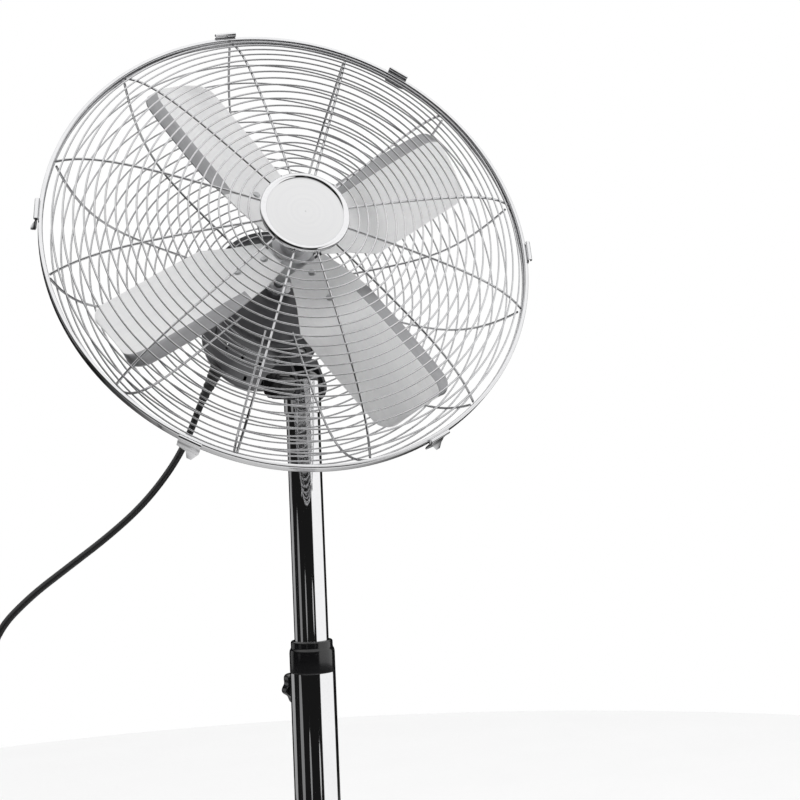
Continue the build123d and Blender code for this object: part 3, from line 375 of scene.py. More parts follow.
def grain_group() -> bpy.types.NodeTree:
    """The shared grain: two scales of noise that tint, roughen and dent a surface.

    Returns:
        A node group that takes a vector and puts out colour, roughness and normal.
    """
    group = bpy.data.node_groups.get("surface_grain")
    if group:
        return group
    group = bpy.data.node_groups.new("surface_grain", "ShaderNodeTree")
    add_sockets(
        group,
        {"Vector": "Vector", "Scale": "Float", "Tint": "Color", "Shade": "Color",
         "Roughness": "Float", "Spread": "Float", "Height": "Float"},
        {"Color": "Color", "Roughness": "Float", "Normal": "Vector"})
    nodes, links = group.nodes, group.links
    source, sink = nodes.new("NodeGroupInput"), nodes.new("NodeGroupOutput")
    fine, broad = nodes.new("ShaderNodeTexNoise"), nodes.new("ShaderNodeTexNoise")
    fine.inputs["Detail"].default_value = 3.0
    broad.inputs["Detail"].default_value = 2.0
    links.new(source.outputs["Scale"], fine.inputs["Scale"])
    links.new(calc(group, "MULTIPLY", source.outputs["Scale"], BROAD_SCALE), broad.inputs["Scale"])
    for noise in (fine, broad):
        links.new(source.outputs["Vector"], noise.inputs["Vector"])
    rest = calc(group, "MULTIPLY", broad.outputs["Fac"], 1 - FINE_SHARE)
    blend = calc(group, "MULTIPLY_ADD", fine.outputs["Fac"], FINE_SHARE, rest)
    spread = remap(group, blend, GRAIN_BAND, (0.0, 1.0), "LINEAR")
    mix = nodes.new("ShaderNodeMix")
    mix.data_type = "RGBA"
    links.new(spread, mix.inputs["Factor"])
    links.new(source.outputs["Shade"], mix.inputs[COLOUR_A])
    links.new(source.outputs["Tint"], mix.inputs[COLOUR_B])
    links.new(mix.outputs[COLOUR_OUT], sink.inputs["Color"])
    rough = calc(group, "MULTIPLY_ADD", spread, source.outputs["Spread"], source.outputs["Roughness"])
    links.new(rough, sink.inputs["Roughness"])
    bump = nodes.new("ShaderNodeBump")
    bump.inputs["Distance"].default_value = DENT
    links.new(source.outputs["Height"], bump.inputs["Strength"])
    links.new(fine.outputs["Fac"], bump.inputs["Height"])
    links.new(bump.outputs["Normal"], sink.inputs["Normal"])
    return group


COAT_ROUGHNESS = 0.08


@dataclass(frozen=True)
class Finish:
    """One surface finish, built from the shared grain."""

    name: str
    tint: tuple[float, float, float]
    shade: tuple[float, float, float]
    roughness: float
    spread: float = 0.05
    metallic: float = 0.0
    scale: float = 900.0
    height: float = 0.05
    coat: float = 0.0
    pattern: Pattern = Pattern.CAST
    stretch: float = 40.0

    def vector(self, tree: bpy.types.NodeTree, axes: Axes) -> bpy.types.NodeSocket:
        """The coordinates that the grain is laid on.

        Drawn grain is stretched along z of the axes. Turned grain depends only
        on the distance from z, and stacked grain only on the place along z.

        Args:
            tree: The material's nodes.
            axes: The axes that the grain follows.

        Returns:
            The socket with the vector.
        """
        nodes, links = tree.nodes, tree.links
        place = nodes.new("ShaderNodeTexCoord").outputs["Object"]
        if self.pattern is Pattern.CAST:
            return place
        mapping = nodes.new("ShaderNodeMapping")
        mapping.inputs["Rotation"].default_value = axes.euler()
        turn = np.stack([axes.x, axes.y, axes.z])
        mapping.inputs["Location"].default_value = tuple(-(turn @ axes.origin))
        links.new(place, mapping.inputs["Vector"])
        parts = nodes.new("ShaderNodeSeparateXYZ")
        joined = nodes.new("ShaderNodeCombineXYZ")
        links.new(mapping.outputs["Vector"], parts.inputs["Vector"])
        if self.pattern is Pattern.DRAWN:
            links.new(parts.outputs["X"], joined.inputs["X"])
            links.new(parts.outputs["Y"], joined.inputs["Y"])
            links.new(calc(tree, "DIVIDE", parts.outputs["Z"], self.stretch), joined.inputs["Z"])
        elif self.pattern is Pattern.TURNED:
            flat = nodes.new("ShaderNodeCombineXYZ")
            links.new(parts.outputs["X"], flat.inputs["X"])
            links.new(parts.outputs["Y"], flat.inputs["Y"])
            size = nodes.new("ShaderNodeVectorMath")
            size.operation = "LENGTH"
            links.new(flat.outputs["Vector"], size.inputs[0])
            links.new(size.outputs["Value"], joined.inputs["X"])
            links.new(parts.outputs["Z"], joined.inputs["Z"])
        else:
            links.new(parts.outputs["Z"], joined.inputs["Z"])
        return joined.outputs["Vector"]

    def material(self, axes: Axes = POLE) -> bpy.types.Material:
        """Builds the material, or finds it if these axes already have it.

        Args:
            axes: The axes that a directional grain follows.

        Returns:
            The material.
        """
        label = self.name
        if self.pattern is not Pattern.CAST:
            label += "".join(f"_{v:.2f}" for v in (*axes.origin, *axes.z))
        made = bpy.data.materials.get(label)
        if made:
            return made
        made = bpy.data.materials.new(label)
        made.use_nodes = True
        tree = made.node_tree
        shader = tree.nodes["Principled BSDF"]
        grain = tree.nodes.new("ShaderNodeGroup")
        grain.node_tree = grain_group()
        grain.inputs["Scale"].default_value = self.scale
        grain.inputs["Tint"].default_value = (*self.tint, 1)
        grain.inputs["Shade"].default_value = (*self.shade, 1)
        grain.inputs["Roughness"].default_value = self.roughness
        grain.inputs["Spread"].default_value = self.spread
        grain.inputs["Height"].default_value = self.height
        tree.links.new(self.vector(tree, axes), grain.inputs["Vector"])
        tree.links.new(grain.outputs["Color"], shader.inputs["Base Color"])
        tree.links.new(grain.outputs["Roughness"], shader.inputs["Roughness"])
        tree.links.new(grain.outputs["Normal"], shader.inputs["Normal"])
        shader.inputs["Metallic"].default_value = self.metallic
        shader.inputs["Coat Weight"].default_value = self.coat
        shader.inputs["Coat Roughness"].default_value = COAT_ROUGHNESS
        return made


CHROME = Finish("chrome_plate", (0.86, 0.86, 0.87), (0.80, 0.80, 0.81), 0.03, 0.03, 1.0, 500, 0.004)
WIRE_CHROME = Finish("wire_chrome", (0.72, 0.72, 0.73), (0.56, 0.56, 0.57), 0.05, 0.05, 1.0, 900, 0.02)
BAND_CHROME = Finish("band_chrome", (0.84, 0.84, 0.85), (0.76, 0.76, 0.77), 0.09, 0.05, 1.0, 700, 0.01)
BLADE_METAL = Finish("blade_brushed", (0.88, 0.88, 0.88), (0.80, 0.80, 0.81), 0.38, 0.10, 0.62,
                     1500, 0.05, pattern=Pattern.DRAWN)
# Painted shade: a darker tint for the blades' folded strip, standing in for the dark reflection that the fold
# shows.
BLADE_FOLD_SHADE = Finish("blade_edge", (0.44, 0.44, 0.45), (0.34, 0.34, 0.35), 0.30, 0.10, 0.9,
                    1500, 0.05, pattern=Pattern.DRAWN)
BADGE_METAL = Finish("badge_spun", (0.84, 0.84, 0.84), (0.76, 0.76, 0.77), 0.30, 0.10, 1.0,
                     2500, 0.05, pattern=Pattern.TURNED)
CASE_PAINT = Finish("casing_paint", (0.075, 0.075, 0.08), (0.05, 0.05, 0.053), 0.34, 0.08, 0.0,
                    1300, 0.12, 0.25)
NECK_PAINT = Finish("neck_paint", (0.055, 0.055, 0.058), (0.035, 0.035, 0.037), 0.38, 0.1, 0.0,
                    900, 0.22, 0.2)
GLOSS_BLACK = Finish("gloss_moulding", (0.006, 0.006, 0.0065), (0.004, 0.004, 0.0045), 0.14, 0.06, 0.0,
                     700, 0.03, 0.4)
SATIN_BLACK = Finish("satin_moulding", (0.022, 0.022, 0.023), (0.014, 0.014, 0.015), 0.42, 0.1, 0.0,
                     1400, 0.10)
SHEATH = Finish("cord_sheath", (0.007, 0.007, 0.0075), (0.004, 0.004, 0.0045), 0.30, 0.06, 0.0,
                1600, 0.02)
RUBBER = Finish("foot_rubber", (0.035, 0.035, 0.036), (0.022, 0.022, 0.023), 0.75, 0.12, 0.0,
                1200, 0.25)
CAST_IRON = Finish("weight_iron", (0.10, 0.10, 0.10), (0.05, 0.048, 0.045), 0.62, 0.15, 0.6,
                   450, 0.5)
CAST_ALLOY = Finish("cast_alloy", (0.70, 0.70, 0.71), (0.52, 0.52, 0.53), 0.36, 0.14, 1.0,
                    800, 0.22)
ZINC = Finish("zinc_plate", (0.66, 0.67, 0.69), (0.50, 0.50, 0.50), 0.26, 0.12, 1.0, 700, 0.06)
NYLON = Finish("nylon", (0.78, 0.77, 0.72), (0.66, 0.65, 0.60), 0.5, 0.1, 0.0, 600, 0.08)
CORE_STEEL = Finish("core_laminations", (0.42, 0.42, 0.44), (0.14, 0.14, 0.15), 0.38, 0.2, 1.0,
                    2200, 0.6, pattern=Pattern.STACKED)
COPPER = Finish("copper_turns", (0.62, 0.25, 0.11), (0.30, 0.10, 0.045), 0.3, 0.15, 1.0,
                1800, 0.7, 0.2, pattern=Pattern.TURNED)
BRONZE = Finish("bearing_bronze", (0.55, 0.38, 0.20), (0.38, 0.25, 0.13), 0.4, 0.12, 1.0, 1500, 0.15)
CASE_PLASTIC = Finish("switch_moulding", (0.30, 0.30, 0.31), (0.22, 0.22, 0.23), 0.5, 0.1, 0.0,
                      900, 0.1)
FLOOR_PAPER = Finish("floor_paper", (0.93, 0.93, 0.93), (0.91, 0.91, 0.91), 0.85, 0.05, 0.0, 60, 0.02)

SLOT_FINISH: dict[str, tuple[Finish, Axes]] = {
    "foot_rubber": (RUBBER, POLE),
    "weight_iron": (CAST_IRON, POLE),
    "pole_chrome": (CHROME, POLE),
    "plain_steel": (ZINC, POLE),
    "gloss_black": (GLOSS_BLACK, POLE),
    "bush_nylon": (NYLON, POLE),
    "motor_paint": (CASE_PAINT, POLE),
    "neck_paint": (NECK_PAINT, POLE),
    "cast_alloy": (CAST_ALLOY, POLE),
    "core_steel": (CORE_STEEL, HEAD),
    "winding_copper": (COPPER, HEAD),
    "bearing_bronze": (BRONZE, POLE),
    "blade_metal": (BLADE_METAL, HEAD),
    "rivet_steel": (ZINC, POLE),
    "guard_chrome": (WIRE_CHROME, POLE),
    "badge_silver": (BADGE_METAL, HEAD),
    "cord_black": (SHEATH, POLE),
    "plug_black": (SATIN_BLACK, POLE),
    "electrical": (CASE_PLASTIC, POLE),
}


def dress(piece: bpy.types.Object, finish: Finish, axes: Axes = POLE) -> None:
    """Gives a piece one finish."""
    piece.data.materials.clear()
    piece.data.materials.append(finish.material(axes))


def settle(piece: bpy.types.Object, body: str, slot: str, finish: Finish, *nodes: str,
           axes: Axes = POLE) -> bpy.types.Object:
    """Dresses a piece and hangs it on its body.

    Args:
        piece: The new piece.
        body: The body that it moves with.
        slot: The record's material slot; not used.
        finish: Its finish.
        nodes: The frame's nodes that it stands for.
        axes: The axes that a directional grain follows.

    Returns:
        The piece.
    """
    dress(piece, finish, axes)
    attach(piece, body)
    if nodes:
        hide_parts(*nodes)
    log.info("%s rides on %s", piece.name, body)
    return piece


# ---- Guard -----------------------------------------------------------------


@dataclass
class GuardHalf:
    """One half of the wire guard: ring wires on top of the radial wires."""

    name: str
    front: bool
    inner: float
    rings: int
    rib_start: float
    rise: float
    square: float
    hoop: float = 0.2222
    gap: float = 0.0026
    wire: float = 0.0008
    rib: float = 0.0011
    ribs: int = 12
    rib_turn: float = math.radians(-3.0)
    bite: float = 0.0003
    inset: float = 0.001
    segments: int = 144

    def height(self, radius: Array) -> Array:
        """The wires' distance along the axis: gap + rise (1 - a x^2 - (1 - a) x^8), x = r / hoop.

        Args:
            radius: Distances from the axis.

        Returns:
            The distance along the axis at each of them, negative behind the rim.
        """
        x = np.asarray(radius) / self.hoop
        tall = self.gap + self.rise * (1 - self.square * x ** 2 - (1 - self.square) * x ** 8)
        return tall if self.front else -tall

    def ring_wires(self) -> bpy.types.Object:
        """Every ring as a torus, with the thicker hoop last.

        Returns:
            The rings as one piece.
        """
        pitch = (self.hoop - self.inner) / (self.rings + 1)
        radius = np.append(self.inner + pitch * np.arange(1, self.rings + 1), self.hoop)
        thick = np.append(np.full(self.rings, self.wire), self.rib)
        a = circle(8)
        profile = np.stack([radius[:, None] + thick[:, None] * np.cos(a),
                            self.height(radius)[:, None] + thick[:, None] * np.sin(a)], axis=-1)
        skin = Skin(f"{self.name}_ring_wires")
        return skin.grid(lathe(HEAD, profile, self.segments), True, True).build(80)

    def rib_wires(self) -> bpy.types.Object:
        """Wires that follow the rings' surface, one rib and one wire radius under it.

        Each runs from the hoop inwards in steps that widen as u^1.4, and is
        pushed off the surface along its normal so that it just bites the rings.

        Returns:
            The radial wires as one piece.
        """
        r = self.hoop - (self.hoop - self.rib_start) * (1 - np.linspace(0, 1, 56)) ** 1.4
        r = r - self.inset
        s = self.height(r)
        slope = np.gradient(s, r)
        away = 1.0 if self.front else -1.0
        size = np.sqrt(1 + slope ** 2)
        depth = self.wire + self.rib - self.bite
        x = r + away * slope / size * depth
        y = s - away / size * depth
        turn = circle(self.ribs, self.rib_turn)
        cos, sin = np.cos(turn)[:, None], np.sin(turn)[:, None]
        centres = HEAD.at(x * cos, x * sin, y + 0 * cos)
        across = HEAD.at(-sin + 0 * x, cos + 0 * x, 0 * x) - HEAD.origin
        normal = HEAD.at(-slope / size * cos, -slope / size * sin, 1 / size + 0 * cos) - HEAD.origin
        skin = Skin(f"{self.name}_rib_wires")
        return skin.grid(along_path(centres, across, normal, self.rib, 10), False, True, True).build(80)

    def build(self, ring_node: str, rib_node: str) -> None:
        """Makes both sets of wires and hangs them on the head.

        Args:
            ring_node: The node that the rings stand for.
            rib_node: The node that the ribs stand for.
        """
        settle(self.ring_wires(), "head", "guard_chrome", WIRE_CHROME, ring_node)
        settle(self.rib_wires(), "head", "guard_chrome", WIRE_CHROME, rib_node)


@dataclass
class RimAndBadge:
    """The strip round the guard's edge, the plain badge and the rear plate."""

    outer: float = 0.225
    width: float = 0.010
    sheet: float = 0.0010
    lip: float = 0.0032
    roll: float = 0.0012
    badge: float = 0.038
    badge_at: float = 0.0440
    plate_at: float = -0.0946

    def strip(self) -> bpy.types.Object:
        """A U-section strip with rolled edges: its outline is walked outside, then inside.

        Returns:
            The strip.
        """
        half, r, roll = self.width / 2, self.outer, self.roll
        outside = np.vstack([
            [[r - self.lip, -half]],
            arc((r - roll, -half + roll), roll, -90, 0, 6),
            [[r, -0.0018], [r, 0.0018]],
            arc((r - roll, half - roll), roll, 0, 90, 6),
            [[r - self.lip, half]]])
        inside = outside[::-1].copy()
        inside[:, 0] = np.minimum(inside[:, 0], r - self.sheet)
        inside[:, 1] = np.clip(inside[:, 1], -half + 0.0007, half - 0.0007)
        profile = np.vstack([outside, inside])
        skin = Skin("rim_strip").grid(lathe(HEAD, profile, 240), True, True)
        return skin.build(50)

    def badge_disc(self) -> bpy.types.Object:
        """A plain disc that rises to its middle as 1 - u^2, with a square edge.

        Returns:
            The disc.
        """
        r = self.badge - 0.0032
        u = np.linspace(0, 1, 24)
        face = np.stack([0.0004 + (r - 0.0004) * u, self.badge_at + 0.0024 + 0.0006 * (1 - u ** 2)], -1)
        back = np.array([[r, self.badge_at + 0.0008], [0.0004, self.badge_at + 0.0008]])
        profile = np.vstack([face, back])
        skin = Skin("badge_disc").grid(lathe(HEAD, profile, 96), True, True)
        return skin.build(40)

    def badge_rim(self) -> bpy.types.Object:
        """A rolled ring: half a flattened circle in front and a skirt behind.

        Returns:
            The ring.
        """
        a = np.radians(np.linspace(-25, 205, 22))
        crown = np.stack([self.badge - 0.0008 + 0.0031 * np.cos(a),
                          self.badge_at + 0.0014 + 0.0026 * np.sin(a)], axis=-1)
        skirt = np.array([[self.badge - 0.0036, self.badge_at - 0.0004],
                          [self.badge + 0.0018, self.badge_at - 0.0008]])
        profile = np.vstack([crown, skirt])
        return Skin("badge_rim").grid(lathe(HEAD, profile, 120), True, True).build(50)

    def nose_plate(self) -> bpy.types.Object:
        """A pressed ring with a raised bead, in front of the motor's nose.

        Returns:
            The plate.
        """
        r = np.array([0.0088, 0.020, 0.024, 0.030, 0.036, 0.042, 0.060, 0.0625, 0.064])
        lift = np.array([0, 0, 0.0008, 0.0016, 0.0008, 0, 0, 0.0003, 0.0012])
        top = np.column_stack([r, self.plate_at + lift])
        low = np.column_stack([r, self.plate_at + lift - 0.0011])[::-1]
        skin = Skin("nose_plate").grid(lathe(HEAD, np.vstack([top, low]), 96), True, True)
        return skin.build(40)

    def build(self) -> None:
        """Makes the four pieces."""
        settle(self.strip(), "head", "guard_chrome", BAND_CHROME, "rim_band")
        settle(self.badge_disc(), "head", "badge_silver", BADGE_METAL, "badge", axes=HEAD)
        settle(self.badge_rim(), "head", "guard_chrome", CHROME, "badge_ring")
        settle(self.nose_plate(), "head", "motor_paint", CASE_PAINT)


# Where the latches are round the rim, in degrees.
LATCH_ANGLES = (-17.0, 43.0, 88.0, 161.0, 227.0, 284.0)


@dataclass
class Latch:
    """One spring clip on the rim: a rolled hinge, a sprung plate and a flared tongue."""

    number: int
    angle: float
    low: float = 0.2260
    hinge_at: float = 0.0065
    half: float = 0.0100
    tongue: float = 0.0048
    aside: float = 0.0040
    sheet: float = 0.0008
    step_at: float = -0.0113
    tip_at: float = -0.0188
    taper: float = 0.0050

    def build(self) -> None:
        """A strip whose side view is a bent line, as wide as a smooth taper says.

        The side view is a list of (radius, along) points with the sheet's
        thickness square to it. Past the plate's edge the strip steps in to a
        tongue, which narrows to its tip as the square root of what is left.
        """
        roll = arc((self.low + 0.0004, self.hinge_at), 0.0017, -60, 200, 14)
        body = np.array([[0.2262, 0.0035], [0.2268, 0.000], [0.2266, -0.004], [0.2262, -0.0075],
                         [0.2266, -0.0100], [0.2269, -0.0112], [0.22695, -0.0114], [0.2276, -0.0136],
                         [0.2287, -0.0156], [0.2300, -0.0172], [0.2311, -0.0182]])
        line = np.vstack([roll, body])
        step = np.gradient(line, axis=0)
        normal = np.column_stack([step[:, 1], -step[:, 0]])
        normal /= np.linalg.norm(normal, axis=1, keepdims=True)
        top, bottom = line + normal * self.sheet / 2, line - normal * self.sheet / 2
        outline = np.vstack([top, bottom[::-1]])
        left = np.clip((outline[:, 1] - self.tip_at) / self.taper, 0.10, 1.0)
        tongue = outline[:, 1] < self.step_at
        width = np.where(tongue, self.tongue * np.sqrt(left), self.half)
        middle = np.where(tongue, self.aside, 0.0)
        levels = np.array([-1, -0.93, 0.93, 1])
        shrink = np.array([0.0001, 0, 0, 0.0001])
        axes = HEAD.turned(self.angle)
        r = outline[None, :, 0] - shrink[:, None]
        across = middle[None, :] + levels[:, None] * width[None, :]
        grid = axes.at(r, across, np.broadcast_to(outline[:, 1], r.shape))
        piece = Skin(f"latch_clip_{self.number}").grid(grid, False, True, True).build(45)
        body_name = f"latch_{self.number}"
        settle(piece, body_name, "guard_chrome", BAND_CHROME, body_name)


# ---- Rotor -----------------------------------------------------------------


@dataclass
class Rotor:
    """Four pressed blades with rolled corners, and their rivets."""

    turn: float = math.radians(14.2)
    plane_at: float = -0.0120
    pitch: float = math.radians(18.0)
    sheet: float = 0.0012
    root: float = 0.0225
    tip: float = 0.1935
    camber: float = 0.0030
    fold_from: float = 0.72
    # How far out from the shaft the painted shade of the folded strip starts.
    shade_paint_from: float = 0.070
    fold_drop: float = 0.0040
    grow_from: float = 0.068
    grow_over: float = 0.03
    corner: float = 0.016
    rivet_r: float = 0.0036
    rivet_rise: float = 0.0016
    rivets: tuple[float, float] = (0.0320, 0.0610)

    def blade_axes(self, k: int) -> Axes:
        """Axes of one blade: x outwards, y across it, z towards the air.

        Args:
            k: Which blade.

        Returns:
            The axes, with their origin on the shaft.
        """
        turned = HEAD.turned(self.turn + k * TURN / 4)
        y = turned.y * math.cos(self.pitch) + turned.z * math.sin(self.pitch)
        origin = HEAD.at(0, 0, self.plane_at)
        return Axes(origin, turned.x, y, np.cross(turned.x, y))

    def outline(self, x: Array) -> tuple[Array, Array]:
        """The blade's two long edges at each distance out, with round tip corners.

        The edges are straight runs between a few given places, and the last
        part closes in as an ellipse's ends do.

        Args:
            x: Distances out from the shaft.

        Returns:
            The trailing and the leading edge's places across the blade.
        """
        places = np.array([0.0, 0.050, 0.075, 0.120, 0.165, 0.2])
        trailing = np.interp(x, places, [-0.010, -0.029, -0.0415, -0.0385, -0.034, -0.031])
        leading = np.interp(x, places, [0.010, 0.0295, 0.0355, 0.041, 0.0445, 0.0455])
        left = np.clip((self.tip - x) / self.corner, 0, 1)
        close = np.sqrt(1 - (1 - left) ** 2)
        return trailing + 0.015 * (1 - close), leading - 0.012 * (1 - close)

    def blade(self, k: int) -> bpy.types.Object:
        """A cambered sheet: z = grow (camber (1 - v^2) - drop fold).

        v runs from -1 to 1 across the blade, and fold is a straight ramp from
        0 at fold_from to 1 at the leading edge. grow is a smooth step from 0
        near the rivets to 1 further out.

        Args:
            k: Which blade.

        Returns:
            The blade's object.
        """
        u = np.linspace(0, 1, 90)
        x = self.root + (self.tip - self.root) * (1 - (1 - u) ** 1.6)
        v = np.linspace(-1, 1, 41)
        low, high = self.outline(x)
        y = (low + high)[:, None] / 2 + (high - low)[:, None] / 2 * v
        grow = np.clip((x - self.grow_from) / self.grow_over, 0, 1)[:, None]
        grow = grow * grow * (3 - 2 * grow)
        fold = np.clip((v - self.fold_from) / (1 - self.fold_from), 0, 1)
        z = self.camber * grow * (1 - v ** 2) - self.fold_drop * grow * fold
        axes = self.blade_axes(k)
        x_grid = np.broadcast_to(x[:, None], y.shape)
        top = axes.at(x_grid, y, z)
        bottom = axes.at(x_grid, y, z - self.sheet)
        shell = np.concatenate([top, bottom[:, ::-1]], axis=1)
        skin = Skin(f"blade_sheet_{k + 1}").grid(shell, False, True, True)
        return skin.build(28)

    def shaded_fold_faces(self, blade: bpy.types.Object, k: int) -> Array:
        """Which faces get the painted shade of the folded strip: those whose middle has v past the fold.

        Args:
            blade: The blade's object.
            k: Which blade.

        Returns:
            One 0 or 1 for each face.
        """
        faces = blade.data.polygons
        middles = np.zeros(len(faces) * 3)
        faces.foreach_get("center", middles)
        axes = self.blade_axes(k)
        away = middles.reshape(-1, 3) - axes.origin
        x, y = away @ axes.x, away @ axes.y
        low, high = self.outline(x)
        v = (2 * y - low - high) / (high - low)
        return ((v > self.fold_from) & (x > self.shade_paint_from)).astype(np.int32)

    def rivet_heads(self) -> bpy.types.Object:
        """Domed heads on each blade: radius and height follow a quarter of an ellipse.

        Returns:
            All the heads as one piece.
        """
        skin = Skin("rivet_heads")
        a = np.radians(np.linspace(2, 90, 9))
        dome = np.column_stack([self.rivet_r * np.cos(np.pi / 2 - a),
                                self.rivet_rise * np.sin(np.pi / 2 - a)])
        base = np.array([[self.rivet_r, -0.0004], [self.rivet_r / 3, -0.0004]])
        profile = np.vstack([dome, base])
        for k in range(4):
            axes = self.blade_axes(k)
            for at in self.rivets:
                skin.grid(lathe(axes.moved(across=at), profile, 20), True, True)
        return skin.build(40)

    def build(self) -> None:
        """Makes the four blades and the rivets."""
        for k in range(4):
            axes = self.blade_axes(k)
            grain = Axes(axes.origin, axes.y, axes.z, axes.x)
            blade = self.blade(k)
            settle(blade, "rotor", "blade_metal", BLADE_METAL, f"blade_{k + 1}", axes=grain)
            # The folded strip gets a darker second material: painted shade for the fold's dark reflection.
            blade.data.materials.append(BLADE_FOLD_SHADE.material(grain))
            blade.data.polygons.foreach_set("material_index", self.shaded_fold_faces(blade, k))
        settle(self.rivet_heads(), "rotor", "rivet_steel", ZINC, "blade_rivets")


# ---- Stand -----------------------------------------------------------------


@dataclass
class Stand:
    """Foot, two tubes and their collar."""

    foot_r: float = 0.198
    lower_r: float = 0.022
    upper_r: float = 0.0166
    wall: float = 0.0012
    collar_z: float = 0.646
    cap_r: float = 0.0183
    sleeve: tuple[float, float] = (0.896, 0.9275)
    cap_z: float = 0.9285
    cap_rise: float = 0.0112
    rim_roll: float = 0.008
    rim_z: float = 0.0150
    dish_low: float = 0.0031
    dish_high: float = 0.036
    dish_hole: float = 0.024
    segments: int = 160

    def tube(self, name: str, radius: float, low: float, high: float) -> bpy.types.Object:
        """A tube with its four edges eased by a third of a millimetre.

        Args:
            name: The piece's name.
            radius: Its outer radius.
            low: Its lower end.
            high: Its upper end.

        Returns:
            The tube.
        """
        corners = [(radius - self.wall, low), (radius, low), (radius, high), (radius - self.wall, high)]
        profile = rounded(corners, 0.0003, 3)
        return Skin(name).grid(lathe(POLE, profile, self.segments), True, True).build(40)

    def foot(self) -> bpy.types.Object:
        """A shallow cone that rolls over at its rim, as thick as the tubes' wall.

        The cone rises as 0.55 u + 0.45 u^2 from the rolled rim to the pole.

        Returns:
            The dish.
        """
        rim = arc((self.foot_r - self.rim_roll, self.rim_z), self.rim_roll, 0, 78, 12)
        u = np.linspace(0, 1, 40)[1:]
        r = rim[-1, 0] + (self.dish_hole - rim[-1, 0]) * u
        rise = rim[-1, 1] + (self.dish_high - rim[-1, 1]) * (0.55 * u + 0.45 * u ** 2)
        top = np.vstack([[[self.foot_r, self.dish_low]], rim, np.column_stack([r, rise])])
        under = top[::-1].copy()
        under[:, 0] = np.clip(under[:, 0], self.dish_hole, self.foot_r - self.wall)
        under[:, 1] = np.maximum(under[:, 1] - self.wall, self.dish_low)
        skin = Skin("foot_dish").grid(lathe(POLE, np.vstack([top, under]), 220), True, True)
        return skin.build(45)

    def collar(self) -> bpy.types.Object:
        """The collar's stepped outline, with a lip on top and a skirt inside the tube.

        Returns:
            The collar.
        """
        z, r = self.collar_z, self.lower_r
        corners = [(0.0169, z + 0.0300), (0.0195, z + 0.0300), (0.0203, z + 0.0288), (0.0203, z + 0.0236),
                   (r - 0.0004, z + 0.0212), (r, z + 0.0185), (r, z + 0.0002), (0.0207, z + 0.0002),
                   (0.0207, z - 0.040), (0.0186, z - 0.040), (0.0186, z + 0.0215), (0.0169, z + 0.0215)]
        profile = rounded(corners, 0.0007, 4)
        return Skin("pole_collar").grid(lathe(POLE, profile, self.segments), True, True).build(50)

    def cap_sleeve(self) -> bpy.types.Object:
        """The bright sleeve at the top of the upper tube, with eased edges.

        Returns:
            The sleeve.
        """
        (low, high), r = self.sleeve, self.cap_r
        profile = rounded([(self.upper_r, low), (r, low), (r, high), (self.upper_r, high)], 0.0008, 4)
        return Skin("cap_sleeve").grid(lathe(POLE, profile, self.segments), True, True).build(40)

    def cap_dome(self) -> bpy.types.Object:
        """The black cap: a short skirt, then a quarter of an ellipse up to the middle.

        Returns:
            The cap.
        """
        a = np.radians(np.linspace(0, 89, 20))
        dome = np.column_stack([self.cap_r * np.cos(a), self.cap_z + self.cap_rise * np.sin(a)])
        skirt = [[0.0003, self.cap_z - 0.0025], [self.cap_r - 0.0008, self.cap_z - 0.0025]]
        profile = np.vstack([skirt, dome])
        return Skin("cap_dome").grid(lathe(POLE, profile, self.segments), True, True).build(40)

    def trim(self) -> bpy.types.Object:
        """A coved ring round the pole where it meets the foot.

        Returns:
            The ring.
        """
        cove = arc((0.0350, 0.0480), 0.0100, 180, 262, 10)
        outline = np.vstack([[[0.0224, 0.0362], [0.0350, 0.0357], [0.0352, 0.0372]],
                             cove[::-1], [[0.0245, 0.0482], [0.0224, 0.0478]]])
        return Skin("pole_cove").grid(lathe(POLE, outline, self.segments), True, True).build(50)

    def build(self) -> None:
        """Makes the foot's dish, the tubes, the collar and the trim."""
        settle(self.foot(), "base", "pole_chrome", CHROME, "foot_cover")
        settle(self.tube("lower_pole", self.lower_r, 0.020, self.collar_z), "base", "pole_chrome",
               CHROME, "lower_tube")
        settle(self.tube("upper_pole", self.upper_r, 0.340, 0.905), "mast", "pole_chrome",
               CHROME, "upper_tube")
        settle(self.cap_sleeve(), "mast", "pole_chrome", CHROME)
        settle(self.cap_dome(), "mast", "gloss_black", GLOSS_BLACK, "mast_cap")
        settle(self.collar(), "base", "gloss_black", GLOSS_BLACK, "tube_collar")
        settle(self.trim(), "base", "pole_chrome", CHROME, "pole_trim")


@dataclass
class Knob:
    """A moulded hand knob with lobes or flutes round it."""

    name: str
    body: str
    slot: str
    axes: Axes
    radius: float
    depth: float
    lobes: int
    swell: float
    stem: float
    stem_from: float
    crown: float = 0.0012
    edge: float = 0.0018
    grip_share: float = 0.55

    def build(self) -> bpy.types.Object:
        """A cap whose radius swells with cos(lobes t), rounded over at both faces.

        The outline's radius is multiplied by 1 + swell cos(lobes t) on the
        grip only, and the stem below it is a plain cylinder.

        Returns:
            The knob's object.
        """
        r, d, c = self.radius, self.depth, self.edge
        face = np.column_stack([np.linspace(0.0005, r - c, 12),
                                d + self.crown * (1 - np.linspace(0, 1, 12) ** 2)])
        edge = arc((r - c, d - c), c, 88, 2, 7)
        b = 0.6 * c
        low = arc((r - b, b), b, 0, -88, 5)
        neck = np.array([[self.stem + 0.0015, 0.0], [self.stem, -0.0002], [self.stem, self.stem_from],
                         [0.0005, self.stem_from]])
        profile = np.vstack([face, edge, low, neck])
        t = circle(168)
        core = self.grip_share * r
        share = np.clip((profile[:, 0] - core) / (r - core), 0, 1)[:, None]
        swell = 1 + self.swell * share * np.cos(self.lobes * t)
        radius = profile[:, 0][:, None] * swell
        grid = self.axes.at(radius * np.cos(t), radius * np.sin(t), profile[:, 1][:, None] + 0 * t)
        piece = Skin(self.name).grid(grid, False, True, True).build(50)
        return settle(piece, self.body, self.slot, GLOSS_BLACK, self.body)


